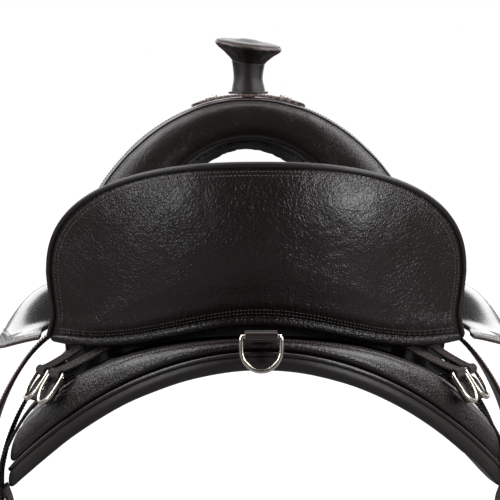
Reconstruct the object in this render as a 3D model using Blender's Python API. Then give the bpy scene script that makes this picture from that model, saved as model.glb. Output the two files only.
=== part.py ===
"""A treeless western saddle: pad, skirt, padded seat, dished cantle, padded pommel arch with a leather horn,
seat jockeys, fenders with stirrups, rigging and D-rings. Metres, +Z up, +Y towards the horse's head.
The origin is on the horse's back, on the saddle's centre line."""

import math

import bmesh
import bpy
from mathutils import Vector

# Fits between pieces
GAP = 0.0003
LAYER_GAP = 0.0005
FOOT_GAP = 0.0014
HANG_GAP = 0.0012
MERGE = 0.000001

# The horse's back under the saddle
BACK_ROCKER = 0.35
BACK_LOW_Y = -0.08
BACK_SPREAD_REAR = 2.1
BACK_SPREAD_FRONT = 2.7

# Outline of the base pad
PAD_REAR_Y = -0.270
PAD_FRONT_Y = 0.315
PAD_HALF_WIDTH = 0.240
REAR_SWEEP = 2.2
REAR_CORNER = 0.050
FRONT_CORNER = 0.090
CORNER_POWER = 2.6
NOTCH_DEPTH = 0.045
NOTCH_HALF_WIDTH = 0.085

# Layers over the back, measured square to it
PAD_THICKNESS = 0.016
PANEL_THICKNESS = 0.0090
SKIRT_THICKNESS = 0.0130
SKIRT_INSET = 0.0030
SKIRT_SWELL = 0.0160
SKIRT_SWELL_X = 0.190
SKIRT_SWELL_REAR_Y = -0.200
SKIRT_SWELL_END_Y = 0.060
SKIRT_ROLL = 0.028
PAD_ROLL = 0.010
LIP_WIDTH = 0.026
LIP_SLOPE = 0.006
PANEL_CLEARANCE = 0.0025
PANEL_HEADROOM = 0.0010
CHANNEL_HALF_WIDTH = 0.030
SHARED_MARGIN = LIP_WIDTH + LIP_SLOPE
SHARED_COLUMNS = 10
SHARED_ROWS = 9

# Cantle, as seen from behind
CANTLE_HALF_WIDTH = 0.2005
CANTLE_WIDEST_Z = 0.074
CANTLE_TOP_Z = 0.1844
CANTLE_POWER = 2.4
CANTLE_WAIST_HALF = 0.1967
CANTLE_WAIST_Z = 0.034
CANTLE_CORNER_HALF = 0.2020
CANTLE_CORNER_Z = 0.0125
CANTLE_BOTTOM_Z = 0.0345
CANTLE_BOTTOM_DROP = 0.0270
CANTLE_BOTTOM_REACH = 0.165
CANTLE_REAR_Y = -0.215
CANTLE_SWEEP = 2.5
CANTLE_LEAN = 0.20
CANTLE_BULGE = 0.006
CANTLE_LEATHER = 0.0040
RIM_RADIUS = 0.0030
ARC_POINTS = 24
BOTTOM_POINTS = 12

# Seat
SEAT_REAR_HALF = 0.1935
SEAT_FRONT_HALF = 0.112
SEAT_FRONT_Y = 0.150
SEAT_LOW_Z = 0.078
SEAT_LOW_AT = 0.55
SEAT_FRONT_Z = 0.128
SEAT_SIDE_Z = 0.074
SEAT_SIDE_DIP = 0.007
CUSHION_EDGE = 0.004
CUSHION_CROWN = 0.020
CUSHION_ROLL = 0.16
CHANNEL_DEPTH = 0.0035
CHANNEL_AT = 0.70
CHANNEL_WIDTH = 0.055
GROUND_SEAT = 0.004
FOAM_TUCK = 0.93
CORE_TUCK = 0.018
SEAT_ROWS = 18
CORE_SHARE = 5 / SEAT_ROWS
CORE_JOINT = 0.002
SEAT_COLUMNS = 16

# Pommel arch: two half ellipses, the inner and the outer edge of the padded roll
ARCH_INNER_HALF = 0.132
ARCH_INNER_TOP = 0.197
ARCH_OUTER_HALF = 0.205
ARCH_OUTER_TOP = 0.243
ROLL_REAR_Y = 0.1345
ROLL_DEPTH = 0.054
ROLL_POWER = 2.6
ARCH_FRONT_Y = 0.262
ARCH_PLATE_LOW = 0.38
ARCH_PLATE_HIGH = 0.62
ARCH_PLATE_INSET = 0.007
LINING_DROP = 0.30
ARCH_GAP = 0.016
ARCH_STEPS = 22
LEG_FLARE = 0.24
COVER_ROUND = 0.010
LAYERS_Y = ROLL_REAR_Y + ROLL_DEPTH + GAP

# Horn
HORN_Y = 0.225
HORN_CORE_RADIUS = 0.0070
HORN_BORE = 0.0005
HORN_NECK_RADIUS = 0.0188
HORN_NECK_WAIST = 0.0166
HORN_NECK_TOP_Z = 0.282
HORN_CAP_RADIUS = 0.0370
HORN_LIP_Z = 0.299
HORN_CAP_CROWN = 0.008
HORN_SOCKET = 0.008
HORN_CORE_SHORT = 0.0025
HORN_CAP_ROUND = 0.0030
HORN_FOOT_FLARE = 0.0012
HORN_LEAN_X = 7.0
HORN_LEAN_Y = 6.0
HORN_SIDES = 24
COLLAR_THICKNESS = 0.003
COLLAR_HALF_WIDTH = 0.063
COLLAR_DEPTH = 0.060
ROSETTE_X = 0.041
ROSETTE_SETBACK = 0.012
ROSETTE_RADIUS = 0.0062
ROSETTE_HEIGHT = 0.0035

# Seat jockeys
JOCKEY_REAR_Y = -0.135
JOCKEY_FRONT_Y = 0.118
JOCKEY_THICKNESS = 0.004
JOCKEY_REAR_Z = 0.021
JOCKEY_RISE = 0.060
JOCKEY_UNDER_SEAT = 0.0045
JOCKEY_REAR_REACH = 0.252
JOCKEY_MID_REACH = 0.254
JOCKEY_FRONT_REACH = 0.222
JOCKEY_REAR_DROP = 0.011
JOCKEY_MID_DROP = 0.0635
JOCKEY_FRONT_DROP = 0.0500
JOCKEY_CURL = 2.2
JOCKEY_CORNER = 0.040
JOCKEY_END_WIDTH = 0.030
JOCKEY_TURN = 0.020
JOCKEY_REAR_CURL = 1.2
JOCKEY_SLOPE_LIMIT = 2.2
JOCKEY_ROWS = 14
JOCKEY_COLUMNS = 7

# Stirrup ring, leathers and fender
RING_Y = 0.030
RING_X = 0.153
RING_Z = 0.015
RING_RADIUS = 0.019
RING_WIRE = 0.0026
RING_STRAP_WIDTH = 0.016
RING_STRAP_THICKNESS = 0.0024
RING_STRAP_SLACK = 0.0044
RING_STRAP_SINK = 0.0020
RING_STRAP_CLOSE = 0.0030
LEATHER_WIDTH = 0.044
LEATHER_NECK = 0.020
LEATHER_THICKNESS = 0.0035
LEATHER_X = 0.262
LEATHER_HANG_Z = -0.180
LEATHER_SLACK = 0.00275
LEATHER_SINK = 0.0014
LEATHER_RUNOUT = 0.012
LEATHER_SPREAD = 0.060
LEATHER_OVERLAP = 0.030
HANG_BEND = 1.25
HANG_STEPS = 14
FENDER_X = 0.282
FENDER_START_X = 0.188
FENDER_START_Z = 0.008
FENDER_HANG_Z = -0.200
FENDER_TAIL_STEPS = 6
FENDER_THICKNESS = 0.004
FENDER_NECK_WIDTH = 0.044
FENDER_NECK_Z = -0.012
FENDER_SHOULDER_WIDTH = 0.070
FENDER_SHOULDER_Z = -0.062
FENDER_WIDEST = 0.200
FENDER_WIDEST_Z = -0.185
FENDER_BOTTOM_WIDTH = 0.050
FENDER_BOTTOM_Z = -0.405
BUCKLE_Z = -0.325
HOBBLE_Z = -0.385
HOBBLE_HEIGHT = 0.022
HOBBLE_THICKNESS = 0.0025
HOBBLE_ROOM = 0.006
BUCKLE_FRAME = 0.004
BUCKLE_THICKNESS = 0.002
BUCKLE_HEIGHT = 0.022

# Stirrup
STIRRUP_X = 0.269
BOLT_Z = -0.455
BOLT_RADIUS = 0.005
STIRRUP_TOP_HALF = 0.037
STIRRUP_BASE_HALF = 0.066
STIRRUP_HEIGHT = 0.135
STIRRUP_WALL = 0.008
STIRRUP_EAR = 0.011
STIRRUP_CORNER = 0.015
STIRRUP_TOP_DEPTH = 0.026
STIRRUP_BASE_DEPTH = 0.052
TREAD_THICKNESS = 0.006
TREAD_MARGIN = 0.002
TREAD_CHAMFER = 0.0015
BOLT_HEAD = 0.0035

# Rigging
RIGGING_Y = -0.085
RIGGING_X = 0.2430
RIGGING_RING_Z = -0.168
RIGGING_STRAP_WIDTH = 0.040
RIGGING_DRAPE = 0.022
RIGGING_FOLD = 0.012
WEBBING = 0.003
RIGGING_RING_WIDTH = 0.052
RIGGING_RING_HEIGHT = 0.056
RIGGING_RING_WIRE = 0.003

# D-rings behind, at the sides and in front
DEE_WIRE = 0.0021
CENTRE_DEE_WIDTH = 0.0355
CENTRE_DEE_HEIGHT = 0.031
CENTRE_DEE_Z = 0.0315
CENTRE_TAB_WIDTH = 0.0285
SIDE_DEE_WIDTH = 0.0245
SIDE_DEE_HEIGHT = 0.031
SIDE_STRAP_WIDTH = 0.0190
SIDE_STRAP_LONGEST = 0.090
SIDE_STRAP_RISE = 0.020
SIDE_DEE_X = 0.187
SIDE_DEE_Z = -0.0155
SIDE_DEE_INSET = 0.012
SIDE_DEE_PITCH = 0.0300
SIDE_DEE_LINE = 61.0
SIDE_DEE_TURN = (58.0, 64.0)
SIDE_DEE_LEAN = 35.0
DEE_STANDOFF = 0.0095
STRAP_THICKNESS = 0.0022
STRAP_BEND_GAP = 0.0002
FOLD_SHARE = 0.45
FOLD_RISE = 0.35
FOLD_CLOSE = 3.2
BACKING_THICKNESS = 0.0022
BACKING_WIDTH = 0.052
BACKING_REACH = 0.0135
BACKING_RISE = 0.0046
FRONT_DEE_X = 0.118
FRONT_STRAP_WIDTH = 0.0187


def smooth(share):
    share = min(max(share, 0.0), 1.0)
    return share * share * (3.0 - 2.0 * share)


def mix(first, second, share):
    return first + (second - first) * share


def roll_off(distance, radius):
    """Rounded edge: 0 on the outline, 1 from the radius inwards."""
    share = min(distance / radius, 1.0)
    return math.sqrt(max(1.0 - (1.0 - share) ** 2, 0.0))


# Materials

def material(name, colour, roughness, metallic=0.0):
    found = bpy.data.materials.get(name)
    if found:
        return found
    made = bpy.data.materials.new(name)
    made.use_nodes = True
    shader = made.node_tree.nodes["Principled BSDF"]
    shader.inputs["Base Color"].default_value = (*colour, 1.0)
    shader.inputs["Roughness"].default_value = roughness
    shader.inputs["Metallic"].default_value = metallic
    made.diffuse_color = (*colour, 1.0)
    return made


def grain_leather():
    return material("grain_leather", (0.018, 0.013, 0.012), 0.48)


def smooth_leather():
    return material("smooth_leather", (0.014, 0.010, 0.010), 0.28)


def webbing():
    return material("webbing", (0.043, 0.022, 0.021), 0.75)


def nickel():
    return material("nickel", (0.60, 0.56, 0.50), 0.18, 1.0)


def felt():
    return material("felt", (0.020, 0.017, 0.016), 0.95)


def foam():
    return material("foam", (0.030, 0.030, 0.032), 0.90)


def arch_plastic():
    return material("arch_plastic", (0.025, 0.025, 0.027), 0.45)


# Builders

def finish(name, mesh, look, sharp=40.0):
    """Turns a bmesh into a named object with closed, outward faces."""
    bmesh.ops.remove_doubles(mesh, verts=mesh.verts, dist=MERGE)
    bmesh.ops.recalc_face_normals(mesh, faces=mesh.faces)
    data = bpy.data.meshes.new(name)
    mesh.to_mesh(data)
    mesh.free()
    data.materials.append(look)
    data.shade_smooth()
    data.set_sharp_from_angle(angle=math.radians(sharp))
    made = bpy.data.objects.new(name, data)
    bpy.context.collection.objects.link(made)
    return made


def grid_solid(name, top, bottom, look):
    """Closed body between two grids of equal size, which may share their edge."""
    mesh = bmesh.new()
    upper = [[mesh.verts.new(point) for point in row] for row in top]
    lower = [[mesh.verts.new(point) for point in row] for row in bottom]
    last_row = len(top) - 1
    last_column = len(top[0]) - 1
    for i in range(last_row):
        for j in range(last_column):
            mesh.faces.new((upper[i][j], upper[i + 1][j], upper[i + 1][j + 1], upper[i][j + 1]))
            mesh.faces.new((lower[i][j], lower[i][j + 1], lower[i + 1][j + 1], lower[i + 1][j]))
    edge = [(i, 0) for i in range(last_row)]
    edge += [(last_row, j) for j in range(last_column)]
    edge += [(i, last_column) for i in range(last_row, 0, -1)]
    edge += [(0, j) for j in range(last_column, 0, -1)]
    for (i, j), (k, m) in zip(edge, edge[1:] + edge[:1]):
        mesh.faces.new((upper[i][j], upper[k][m], lower[k][m], lower[i][j]))
    return finish(name, mesh, look)


def loft(name, rings, look, closed=False, sharp=40.0, hubs=None):
    """Closed body through rings of equal size, capped at both ends unless the rings close on themselves."""
    mesh = bmesh.new()
    drawn = [[mesh.verts.new(point) for point in ring] for ring in rings]
    pairs = list(zip(drawn, drawn[1:]))
    if closed:
        pairs.append((drawn[-1], drawn[0]))
    for first, second in pairs:
        for k in range(len(first)):
            n = (k + 1) % len(first)
            mesh.faces.new((first[k], first[n], second[n], second[k]))
    if not closed:
        for end, ring in enumerate((drawn[0], drawn[-1])):
            middle = sum((vertex.co for vertex in ring), Vector()) / len(ring)
            hub = mesh.verts.new(hubs[end] if hubs else middle)
            for k in range(len(ring)):
                mesh.faces.new((ring[k], ring[(k + 1) % len(ring)], hub))
    return finish(name, mesh, look, sharp)


def ribbon_rings(path, across, widths, thickness):
    """Flat four cornered sections along a path, square to it."""
    rings = []
    for k, point in enumerate(path):
        ahead = path[min(k + 1, len(path) - 1)]
        behind = path[max(k - 1, 0)]
        normal = (ahead - behind).cross(across).normalized() * (0.5 * thickness)
        side = across * (0.5 * widths[k])
        low = [point - side - normal, point + side - normal]
        rings.append(low + [point + side + normal, point - side + normal])
    return rings


def ribbon(name, path, across, width, thickness, look):
    widths = width if isinstance(width, list) else [width] * len(path)
    return loft(name, ribbon_rings(path, across, widths, thickness), look)


def spline(points, steps):
    """Points read from a smooth curve through the given ones."""
    ends = [points[0] * 2 - points[1]] + points + [points[-1] * 2 - points[-2]]
    found = []
    for k in range(1, len(ends) - 2):
        before, start, stop, after = ends[k - 1 : k + 3]
        for step in range(steps):
            t = step / steps
            found.append(
                0.5
                * (
                    2.0 * start
                    + (stop - before) * t
                    + (2.0 * before - 5.0 * start + 4.0 * stop - after) * t * t
                    + (3.0 * start - before - 3.0 * stop + after) * t ** 3
                )
            )
    found.append(points[-1].copy())
    return found


def turned(name, profile, look, sides=HORN_SIDES, place=(0.0, 0.0, 0.0), shear=None, closed=False):
    """Body turned about a vertical axis from (radius, height) points, with rings that may be sheared."""
    centre = Vector(place)
    rings = []
    for radius, height in profile:
        ring = []
        for k in range(sides):
            turn = 2.0 * math.pi * k / sides
            point = Vector((radius * math.cos(turn), radius * math.sin(turn), height))
            if shear:
                point.z += shear(point)
            ring.append(centre + point)
        rings.append(ring)
    return loft(name, rings, look, closed=closed, sharp=50.0)


def closed_wire(name, points, radius, look, place, sides=1):
    """Wire bent to a closed shape; the points are measured from its hinge axis."""
    data = bpy.data.curves.new(name, "CURVE")
    data.dimensions = "3D"
    data.twist_mode = "MINIMUM"
    data.bevel_depth = radius
    data.bevel_resolution = sides
    line = data.splines.new("POLY")
    line.points.add(len(points) - 1)
    for spot, point in zip(line.points, points):
        spot.co = (*point, 1.0)
    line.use_cyclic_u = True
    line.use_smooth = True
    data.materials.append(look)
    made = bpy.data.objects.new(name, data)
    made.location = place
    bpy.context.collection.objects.link(made)
    return made


def cut(target, cutter):
    cutter.hide_render = True
    cutter.display_type = "WIRE"
    hole = target.modifiers.new("cut_" + cutter.name, "BOOLEAN")
    hole.operation = "DIFFERENCE"
    hole.solver = "EXACT"
    hole.object = cutter


def rod(name, start, end, radius, look, sides=16):
    """Round bar between two points."""
    axis = (end - start).normalized()
    first = axis.orthogonal().normalized()
    second = axis.cross(first)
    rings = []
    for centre in (start, end):
        rings.append(
            [
                centre
                + first * radius * math.cos(2 * math.pi * k / sides)
                + second * radius * math.sin(2 * math.pi * k / sides)
                for k in range(sides)
            ]
        )
    return loft(name, rings, look)


# Surface of the horse's back

def back_rise(y):
    return BACK_ROCKER * ((y - BACK_LOW_Y) ** 2 - (PAD_REAR_Y - BACK_LOW_Y) ** 2)


def back_spread(y):
    return mix(BACK_SPREAD_REAR, BACK_SPREAD_FRONT, smooth((y - PAD_REAR_Y) / (PAD_FRONT_Y - PAD_REAR_Y)))


def over_back(x, y, height):
    """Point over the back; the height counts square to the slope from side to side."""
    spread = back_spread(y)
    return Vector((x, y, back_rise(y) - spread * x * x + height * math.hypot(1.0, 2.0 * spread * x)))


SKIRT_LOW = PAD_THICKNESS + GAP
SKIRT_TOP = SKIRT_LOW + SKIRT_THICKNESS


# Base pad, skirt and panels

def corner_share(x):
    share = min(abs(x) / PAD_HALF_WIDTH, 1.0)
    return 1.0 - (1.0 - share ** CORNER_POWER) ** (1.0 / CORNER_POWER)


def pad_rear(x):
    return PAD_REAR_Y + REAR_SWEEP * x * x + REAR_CORNER * corner_share(x)


def pad_front(x):
    notch = NOTCH_DEPTH * math.exp(-((x / NOTCH_HALF_WIDTH) ** 2))
    return PAD_FRONT_Y - notch - FRONT_CORNER * corner_share(x)


def edge_steps(inset, roll):
    """Distances from the outline at which the rounded edge gets a line of points."""
    return [inset, inset + 0.10 * roll, inset + 0.42 * roll, inset + roll]


def layer_columns(near):
    inner = PAD_HALF_WIDTH - SHARED_MARGIN
    shared = [inner * (2.0 * k / SHARED_COLUMNS - 1.0) for k in range(SHARED_COLUMNS + 1)]
    left = [-(PAD_HALF_WIDTH - step) for step in near]
    return left + shared + [-x for x in reversed(left)]


def layer_rows(x, near):
    rear = pad_rear(x)
    front = pad_front(x)
    start = rear + SHARED_MARGIN
    stop = front - SHARED_MARGIN
    shared = [mix(start, stop, k / SHARED_ROWS) for k in range(SHARED_ROWS + 1)]
    return [rear + step for step in near] + shared + [front - step for step in reversed(near)]


def edge_distance(x, y):
    return min(PAD_HALF_WIDTH - abs(x), y - pad_rear(x), pad_front(x) - y)


def layer(name, near, low, high, look):
    """Padded layer over the back, between two heights that are given as functions of x and y."""
    top = []
    bottom = []
    for x in layer_columns(near):
        rows = layer_rows(x, near)
        top.append([over_back(x, y, high(x, y)) for y in rows])
        bottom.append([over_back(x, y, low(x, y)) for y in rows])
    return grid_solid(name, top, bottom, look)


def pad_top(x, y):
    return PAD_THICKNESS * mix(0.5, 1.0, roll_off(edge_distance(x, y), PAD_ROLL))


def pad_underside(x, y):
    """The pad's underside: a lip all round, and a shallow recess inside it for the two panels."""
    distance = edge_distance(x, y)
    recess = (PANEL_THICKNESS + PANEL_HEADROOM) * smooth((distance - LIP_WIDTH) / LIP_SLOPE)
    return mix(0.5 * PAD_THICKNESS, recess, roll_off(distance, PAD_ROLL))


def skirt_edge(x, y, radius):
    return roll_off(max(edge_distance(x, y) - SKIRT_INSET, 0.0), radius)


def skirt_top(x, y):
    """The skirt's upper side: thickest behind, at the sides, and rolled down to its edge."""
    behind = smooth((SKIRT_SWELL_END_Y - y) / (SKIRT_SWELL_END_Y - SKIRT_SWELL_REAR_Y))
    crest = SKIRT_TOP + SKIRT_SWELL * smooth(abs(x) / SKIRT_SWELL_X) * behind
    return mix(SKIRT_LOW + 0.5 * SKIRT_THICKNESS, crest, skirt_edge(x, y, SKIRT_ROLL))


def skirt_underside(x, y):
    return mix(SKIRT_LOW + 0.5 * SKIRT_THICKNESS, SKIRT_LOW, skirt_edge(x, y, PAD_ROLL))


def on_skirt(x, y, lift=FOOT_GAP):
    return over_back(x, y, skirt_top(x, y) + lift)


def base_pad():
    near = edge_steps(0.0, PAD_ROLL) + [LIP_WIDTH]
    layer("base_pad", near, pad_underside, pad_top, smooth_leather())


def skirt():
    near = edge_steps(SKIRT_INSET, SKIRT_ROLL)
    layer("skirt", near, skirt_underside, skirt_top, grain_leather())


def panel(side, name):
    start = SHARED_MARGIN + PANEL_CLEARANCE
    inner = PAD_HALF_WIDTH - SHARED_MARGIN
    shared = [inner * 2.0 * k / SHARED_COLUMNS for k in range(1, SHARED_COLUMNS // 2)]
    columns = [side * x for x in [CHANNEL_HALF_WIDTH] + shared + [PAD_HALF_WIDTH - start]]
    if side < 0:
        columns.reverse()
    top = []
    bottom = []
    for x in columns:
        rows = layer_rows(x, [])
        rows[0] += PANEL_CLEARANCE
        rows[-1] -= PANEL_CLEARANCE
        top.append([over_back(x, y, PANEL_THICKNESS) for y in rows])
        bottom.append([over_back(x, y, 0.0) for y in rows])
    grid_solid(name, top, bottom, felt())


# Cantle

def cantle_y(x, z):
    """Rear face of the cantle: swept forward at the sides and leaning back at the top."""
    return CANTLE_REAR_Y + CANTLE_SWEEP * x * x - CANTLE_LEAN * (z - CANTLE_BOTTOM_Z)


def cantle_outline():
    """The rear panel's outline, from the right bottom corner over the top to the left, then back below."""
    power = 2.0 / CANTLE_POWER
    points = []
    sides = [(CANTLE_CORNER_HALF, CANTLE_CORNER_Z), (CANTLE_WAIST_HALF, CANTLE_WAIST_Z)]
    middle = (0.5 * (CANTLE_WAIST_HALF + CANTLE_HALF_WIDTH), 0.5 * (CANTLE_WAIST_Z + CANTLE_WIDEST_Z))
    sides.append(middle)
    points += sides
    rise = CANTLE_TOP_Z - CANTLE_WIDEST_Z
    for k in range(ARC_POINTS + 1):
        turn = math.pi * k / ARC_POINTS
        reach = math.copysign(abs(math.cos(turn)) ** power, math.cos(turn))
        points.append((CANTLE_HALF_WIDTH * reach, CANTLE_WIDEST_Z + rise * abs(math.sin(turn)) ** power))
    points += [(-x, z) for x, z in reversed(sides)]
    for k in range(1, BOTTOM_POINTS):
        x = CANTLE_CORNER_HALF * 0.985 * (2.0 * k / BOTTOM_POINTS - 1.0)
        points.append((x, cantle_bottom(x)))
    return points


def cantle_bottom(x):
    return CANTLE_BOTTOM_Z - CANTLE_BOTTOM_DROP * smooth(abs(x) / CANTLE_BOTTOM_REACH)


def inset_outline(points, distance):
    """The outline moved inwards by a distance."""
    moved = []
    count = len(points)
    for k, (x, z) in enumerate(points):
        here = Vector((x, z))
        ahead = (Vector(points[(k + 1) % count]) - here).normalized()
        behind = (here - Vector(points[k - 1])).normalized()
        along = (ahead + behind).normalized()
        reach = distance / max(along.dot(ahead), 0.5)
        moved.append((x - along.y * reach, z + along.x * reach))
    return moved


def cantle_back():
    """The rear leather panel, in rings from its middle to its edge."""
    outline = inset_outline(cantle_outline(), RIM_RADIUS * 2.0 + LAYER_GAP)
    centre = Vector((0.0, 0.0, 0.5 * (CANTLE_TOP_Z + CANTLE_BOTTOM_Z)))
    mesh = bmesh.new()
    for thickness in (0.0, CANTLE_LEATHER):
        hub = mesh.verts.new((0.0, cantle_y(0.0, centre.z) - CANTLE_BULGE + thickness, centre.z))
        inner = None
        for reach in (0.40, 0.70, 0.88, 0.96, 1.0):
            ring = []
            for x, z in outline:
                px = x * reach
                pz = mix(centre.z, z, reach)
                bulge = CANTLE_BULGE * (1.0 - reach ** 2)
                ring.append(mesh.verts.new((px, cantle_y(px, pz) - bulge + thickness, pz)))
            for k in range(len(ring)):
                n = (k + 1) % len(ring)
                if inner:
                    mesh.faces.new((inner[k], inner[n], ring[n], ring[k]))
                else:
                    mesh.faces.new((hub, ring[n], ring[k]))
            inner = ring
        if thickness == 0.0:
            rear = inner
    for k in range(len(rear)):
        n = (k + 1) % len(rear)
        mesh.faces.new((rear[k], rear[n], inner[n], inner[k]))
    finish("cantle_back", mesh, grain_leather())


def cantle_rim():
    """The piped edge, from one bottom corner over the top to the other."""
    outline = inset_outline(cantle_outline(), RIM_RADIUS)
    over_top = outline[: ARC_POINTS + 1 + 6]
    path = [Vector((x, cantle_y(x, z) + 0.5 * CANTLE_LEATHER, z)) for x, z in over_top]
    rings = []
    for k, point in enumerate(path):
        along = (path[min(k + 1, len(path) - 1)] - path[max(k - 1, 0)]).normalized()
        first = along.cross(Vector((0.0, 1.0, 0.0))).normalized()
        second = along.cross(first)
        turns = [2.0 * math.pi * n / 8 for n in range(8)]
        rings.append([point + (first * math.cos(t) + second * math.sin(t)) * RIM_RADIUS for t in turns])
    loft("cantle_rim", rings, smooth_leather())


# Seat

def seat_half(v):
    return mix(SEAT_FRONT_HALF, SEAT_REAR_HALF, math.cos(0.5 * math.pi * v) ** 2)


def seat_rim_z(x):
    rise = CANTLE_TOP_Z - CANTLE_WIDEST_Z - 2.0 * RIM_RADIUS - GAP
    share = min(abs(x) / SEAT_REAR_HALF, 1.0)
    return CANTLE_WIDEST_Z + rise * (1.0 - share ** CANTLE_POWER) ** (1.0 / CANTLE_POWER)


def seat_centre_z(v):
    rear = seat_rim_z(0.0)
    if v < SEAT_LOW_AT:
        return mix(rear, SEAT_LOW_Z, smooth(v / SEAT_LOW_AT))
    return mix(SEAT_LOW_Z, SEAT_FRONT_Z, smooth((v - SEAT_LOW_AT) / (1.0 - SEAT_LOW_AT)))


def seat_side_z(v):
    return SEAT_SIDE_Z - SEAT_SIDE_DIP * math.sin(math.pi * v)


def seat_top(u, v):
    """The seat's upper surface: u from side to side, v from the cantle's rim to the pommel."""
    x = seat_half(v) * u
    dome = (1.0 - abs(u) ** CANTLE_POWER) ** (1.0 / CANTLE_POWER)
    z = mix(seat_side_z(v), seat_centre_z(v), dome)
    rim_y = cantle_y(x, seat_rim_z(x)) + CANTLE_LEATHER + LAYER_GAP
    return Vector((x, mix(rim_y, SEAT_FRONT_Y, v), z))


def seat_edge(u, v):
    """0 on the seat's outline, 1 well inside."""
    return roll_off(min(1.0 - abs(u), 2.0 * v, 2.0 * (1.0 - v)), CUSHION_ROLL)


def seat_layer(u, v, depth):
    """A point below the seat's surface, behind the cantle's lean where it meets the rear panel."""
    point = seat_top(u, v)
    point.z -= depth
    point.y += CANTLE_LEAN * depth * (1.0 - v)
    return point


def cushion_depth(u, v):
    return CUSHION_EDGE + CUSHION_CROWN * seat_edge(u, v)


def seat_channel(u, v):
    """Stitched channel that follows the seat's outline."""
    inside = max(abs(u), abs(2.0 * v - 1.0))
    return CHANNEL_DEPTH * math.exp(-(((inside - CHANNEL_AT) / CHANNEL_WIDTH) ** 2))


def seat_columns():
    half = SEAT_COLUMNS // 2
    return [math.sin(0.5 * math.pi * k / half) for k in range(-half, half + 1)]


def seat_rows():
    return [k / SEAT_ROWS for k in range(SEAT_ROWS + 1)]


def seat_grid(rows, surface):
    return [[surface(u, v) for v in rows] for u in seat_columns()]


def seat_cushion():
    rows = seat_rows()
    top = seat_grid(rows, lambda u, v: seat_layer(u, v, seat_channel(u, v)))
    bottom = seat_grid(rows, lambda u, v: seat_layer(u, v, cushion_depth(u, v)))
    grid_solid("seat_cushion", top, bottom, grain_leather())


def ground_seat():
    rows = seat_rows()
    top = seat_grid(rows, lambda u, v: seat_layer(u, v, cushion_depth(u, v) + LAYER_GAP))
    bottom = seat_grid(rows, lambda u, v: seat_layer(u, v, cushion_depth(u, v) + LAYER_GAP + GROUND_SEAT))
    grid_solid("ground_seat", top, bottom, smooth_leather())


def foam_bottom(u, v):
    """Where the foam stands on the skirt: tucked in at the sides and under the cantle."""
    point = seat_top(u, v)
    x = point.x * FOAM_TUCK
    z = on_skirt(x, point.y).z
    lean = CANTLE_LEAN * (point.z - z) * (1.0 - v)
    y = point.y + lean + CORE_TUCK * (1.0 - smooth(v / CORE_SHARE))
    return on_skirt(x, y)


def foam_block(name, rows, look):
    depth = GROUND_SEAT + 2.0 * LAYER_GAP
    top = seat_grid(rows, lambda u, v: seat_layer(u, v, cushion_depth(u, v) + depth))
    grid_solid(name, top, seat_grid(rows, foam_bottom), look)


def cantle_core():
    foam_block("cantle_core", [v for v in seat_rows() if v < CORE_SHARE] + [CORE_SHARE], foam())


def core_wall_y(x, z):
    """Rear face of the cantle's core, at its foot or above it."""
    low, high = 0.0, 1.0
    for _ in range(30):
        u = 0.5 * (low + high)
        foot = foam_bottom(u, 0.0)
        top = seat_layer(u, 0.0, cushion_depth(u, 0.0) + GROUND_SEAT + 2.0 * LAYER_GAP)
        share = (z - foot.z) / (top.z - foot.z)
        low, high = (u, high) if mix(foot.x, top.x, share) < abs(x) else (low, u)
    return mix(foot.y, top.y, share)


def seat_foam():
    start = CORE_SHARE + CORE_JOINT
    foam_block("seat_foam", [start] + [v for v in seat_rows() if v > start], foam())


# Pommel arch

def arch_point(share, y, turn):
    """Point on the arch; share 0 is the roll's inner edge, 1 its outer edge, and turn 0 is the top."""
    half = mix(ARCH_INNER_HALF, ARCH_OUTER_HALF, share)
    top = mix(ARCH_INNER_TOP, ARCH_OUTER_TOP, share)
    return Vector((half * math.sin(turn), y, top * math.cos(turn)))


def arch_end(share, y):
    """The turn at which the arch meets the skirt."""
    low, high = 0.5, 2.2
    for _ in range(40):
        turn = 0.5 * (low + high)
        point = arch_point(share, y, turn)
        inside_skirt = point.z < on_skirt(point.x, y).z
        low, high = (low, turn) if inside_skirt else (turn, high)
    return low


def flared(y, along):
    """The legs are deeper from front to rear than the arch's top."""
    return LAYERS_Y + (y - LAYERS_Y) * (1.0 + LEG_FLARE * smooth(abs(along)))


def arch(name, section, look, reach=None, steps=ARCH_STEPS):
    """Sweeps a section of (share, y) points along the arch, from skirt to skirt unless a reach is given."""
    rings = []
    for k in range(steps + 1):
        along = 2.0 * k / steps - 1.0
        ring = []
        for share, y in section:
            if reach:
                ring.append(arch_point(share, y, along * reach))
            else:
                ring.append(arch_point(share, flared(y, along), along * arch_end(share, flared(y, 1.0))))
        rings.append(ring)
    hubs = None
    if not reach:
        hubs = []
        for ring in (rings[0], rings[-1]):
            middle = sum(ring, Vector()) / len(ring)
            hubs.append(on_skirt(middle.x, middle.y))
    return loft(name, rings, look, sharp=50.0, hubs=hubs)


def pommel_roll():
    section = []
    for k in range(14):
        turn = 2.0 * math.pi * k / 14
        share = 0.5 + 0.47 * math.copysign(abs(math.sin(turn)) ** (2.0 / ROLL_POWER), math.sin(turn))
        bulge = math.copysign(abs(math.cos(turn)) ** (2.0 / ROLL_POWER), math.cos(turn))
        section.append((share, ROLL_REAR_Y + 0.5 * ROLL_DEPTH * (1.0 + bulge)))
    arch("pommel_roll", section, grain_leather())


def pommel_arch():
    rear = LAYERS_Y
    front = ARCH_FRONT_Y - ARCH_PLATE_INSET
    section = [(ARCH_PLATE_LOW, rear), (ARCH_PLATE_HIGH, rear)]
    section += [(ARCH_PLATE_HIGH, front), (ARCH_PLATE_LOW, front)]
    return arch("pommel_arch", section, arch_plastic())


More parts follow.
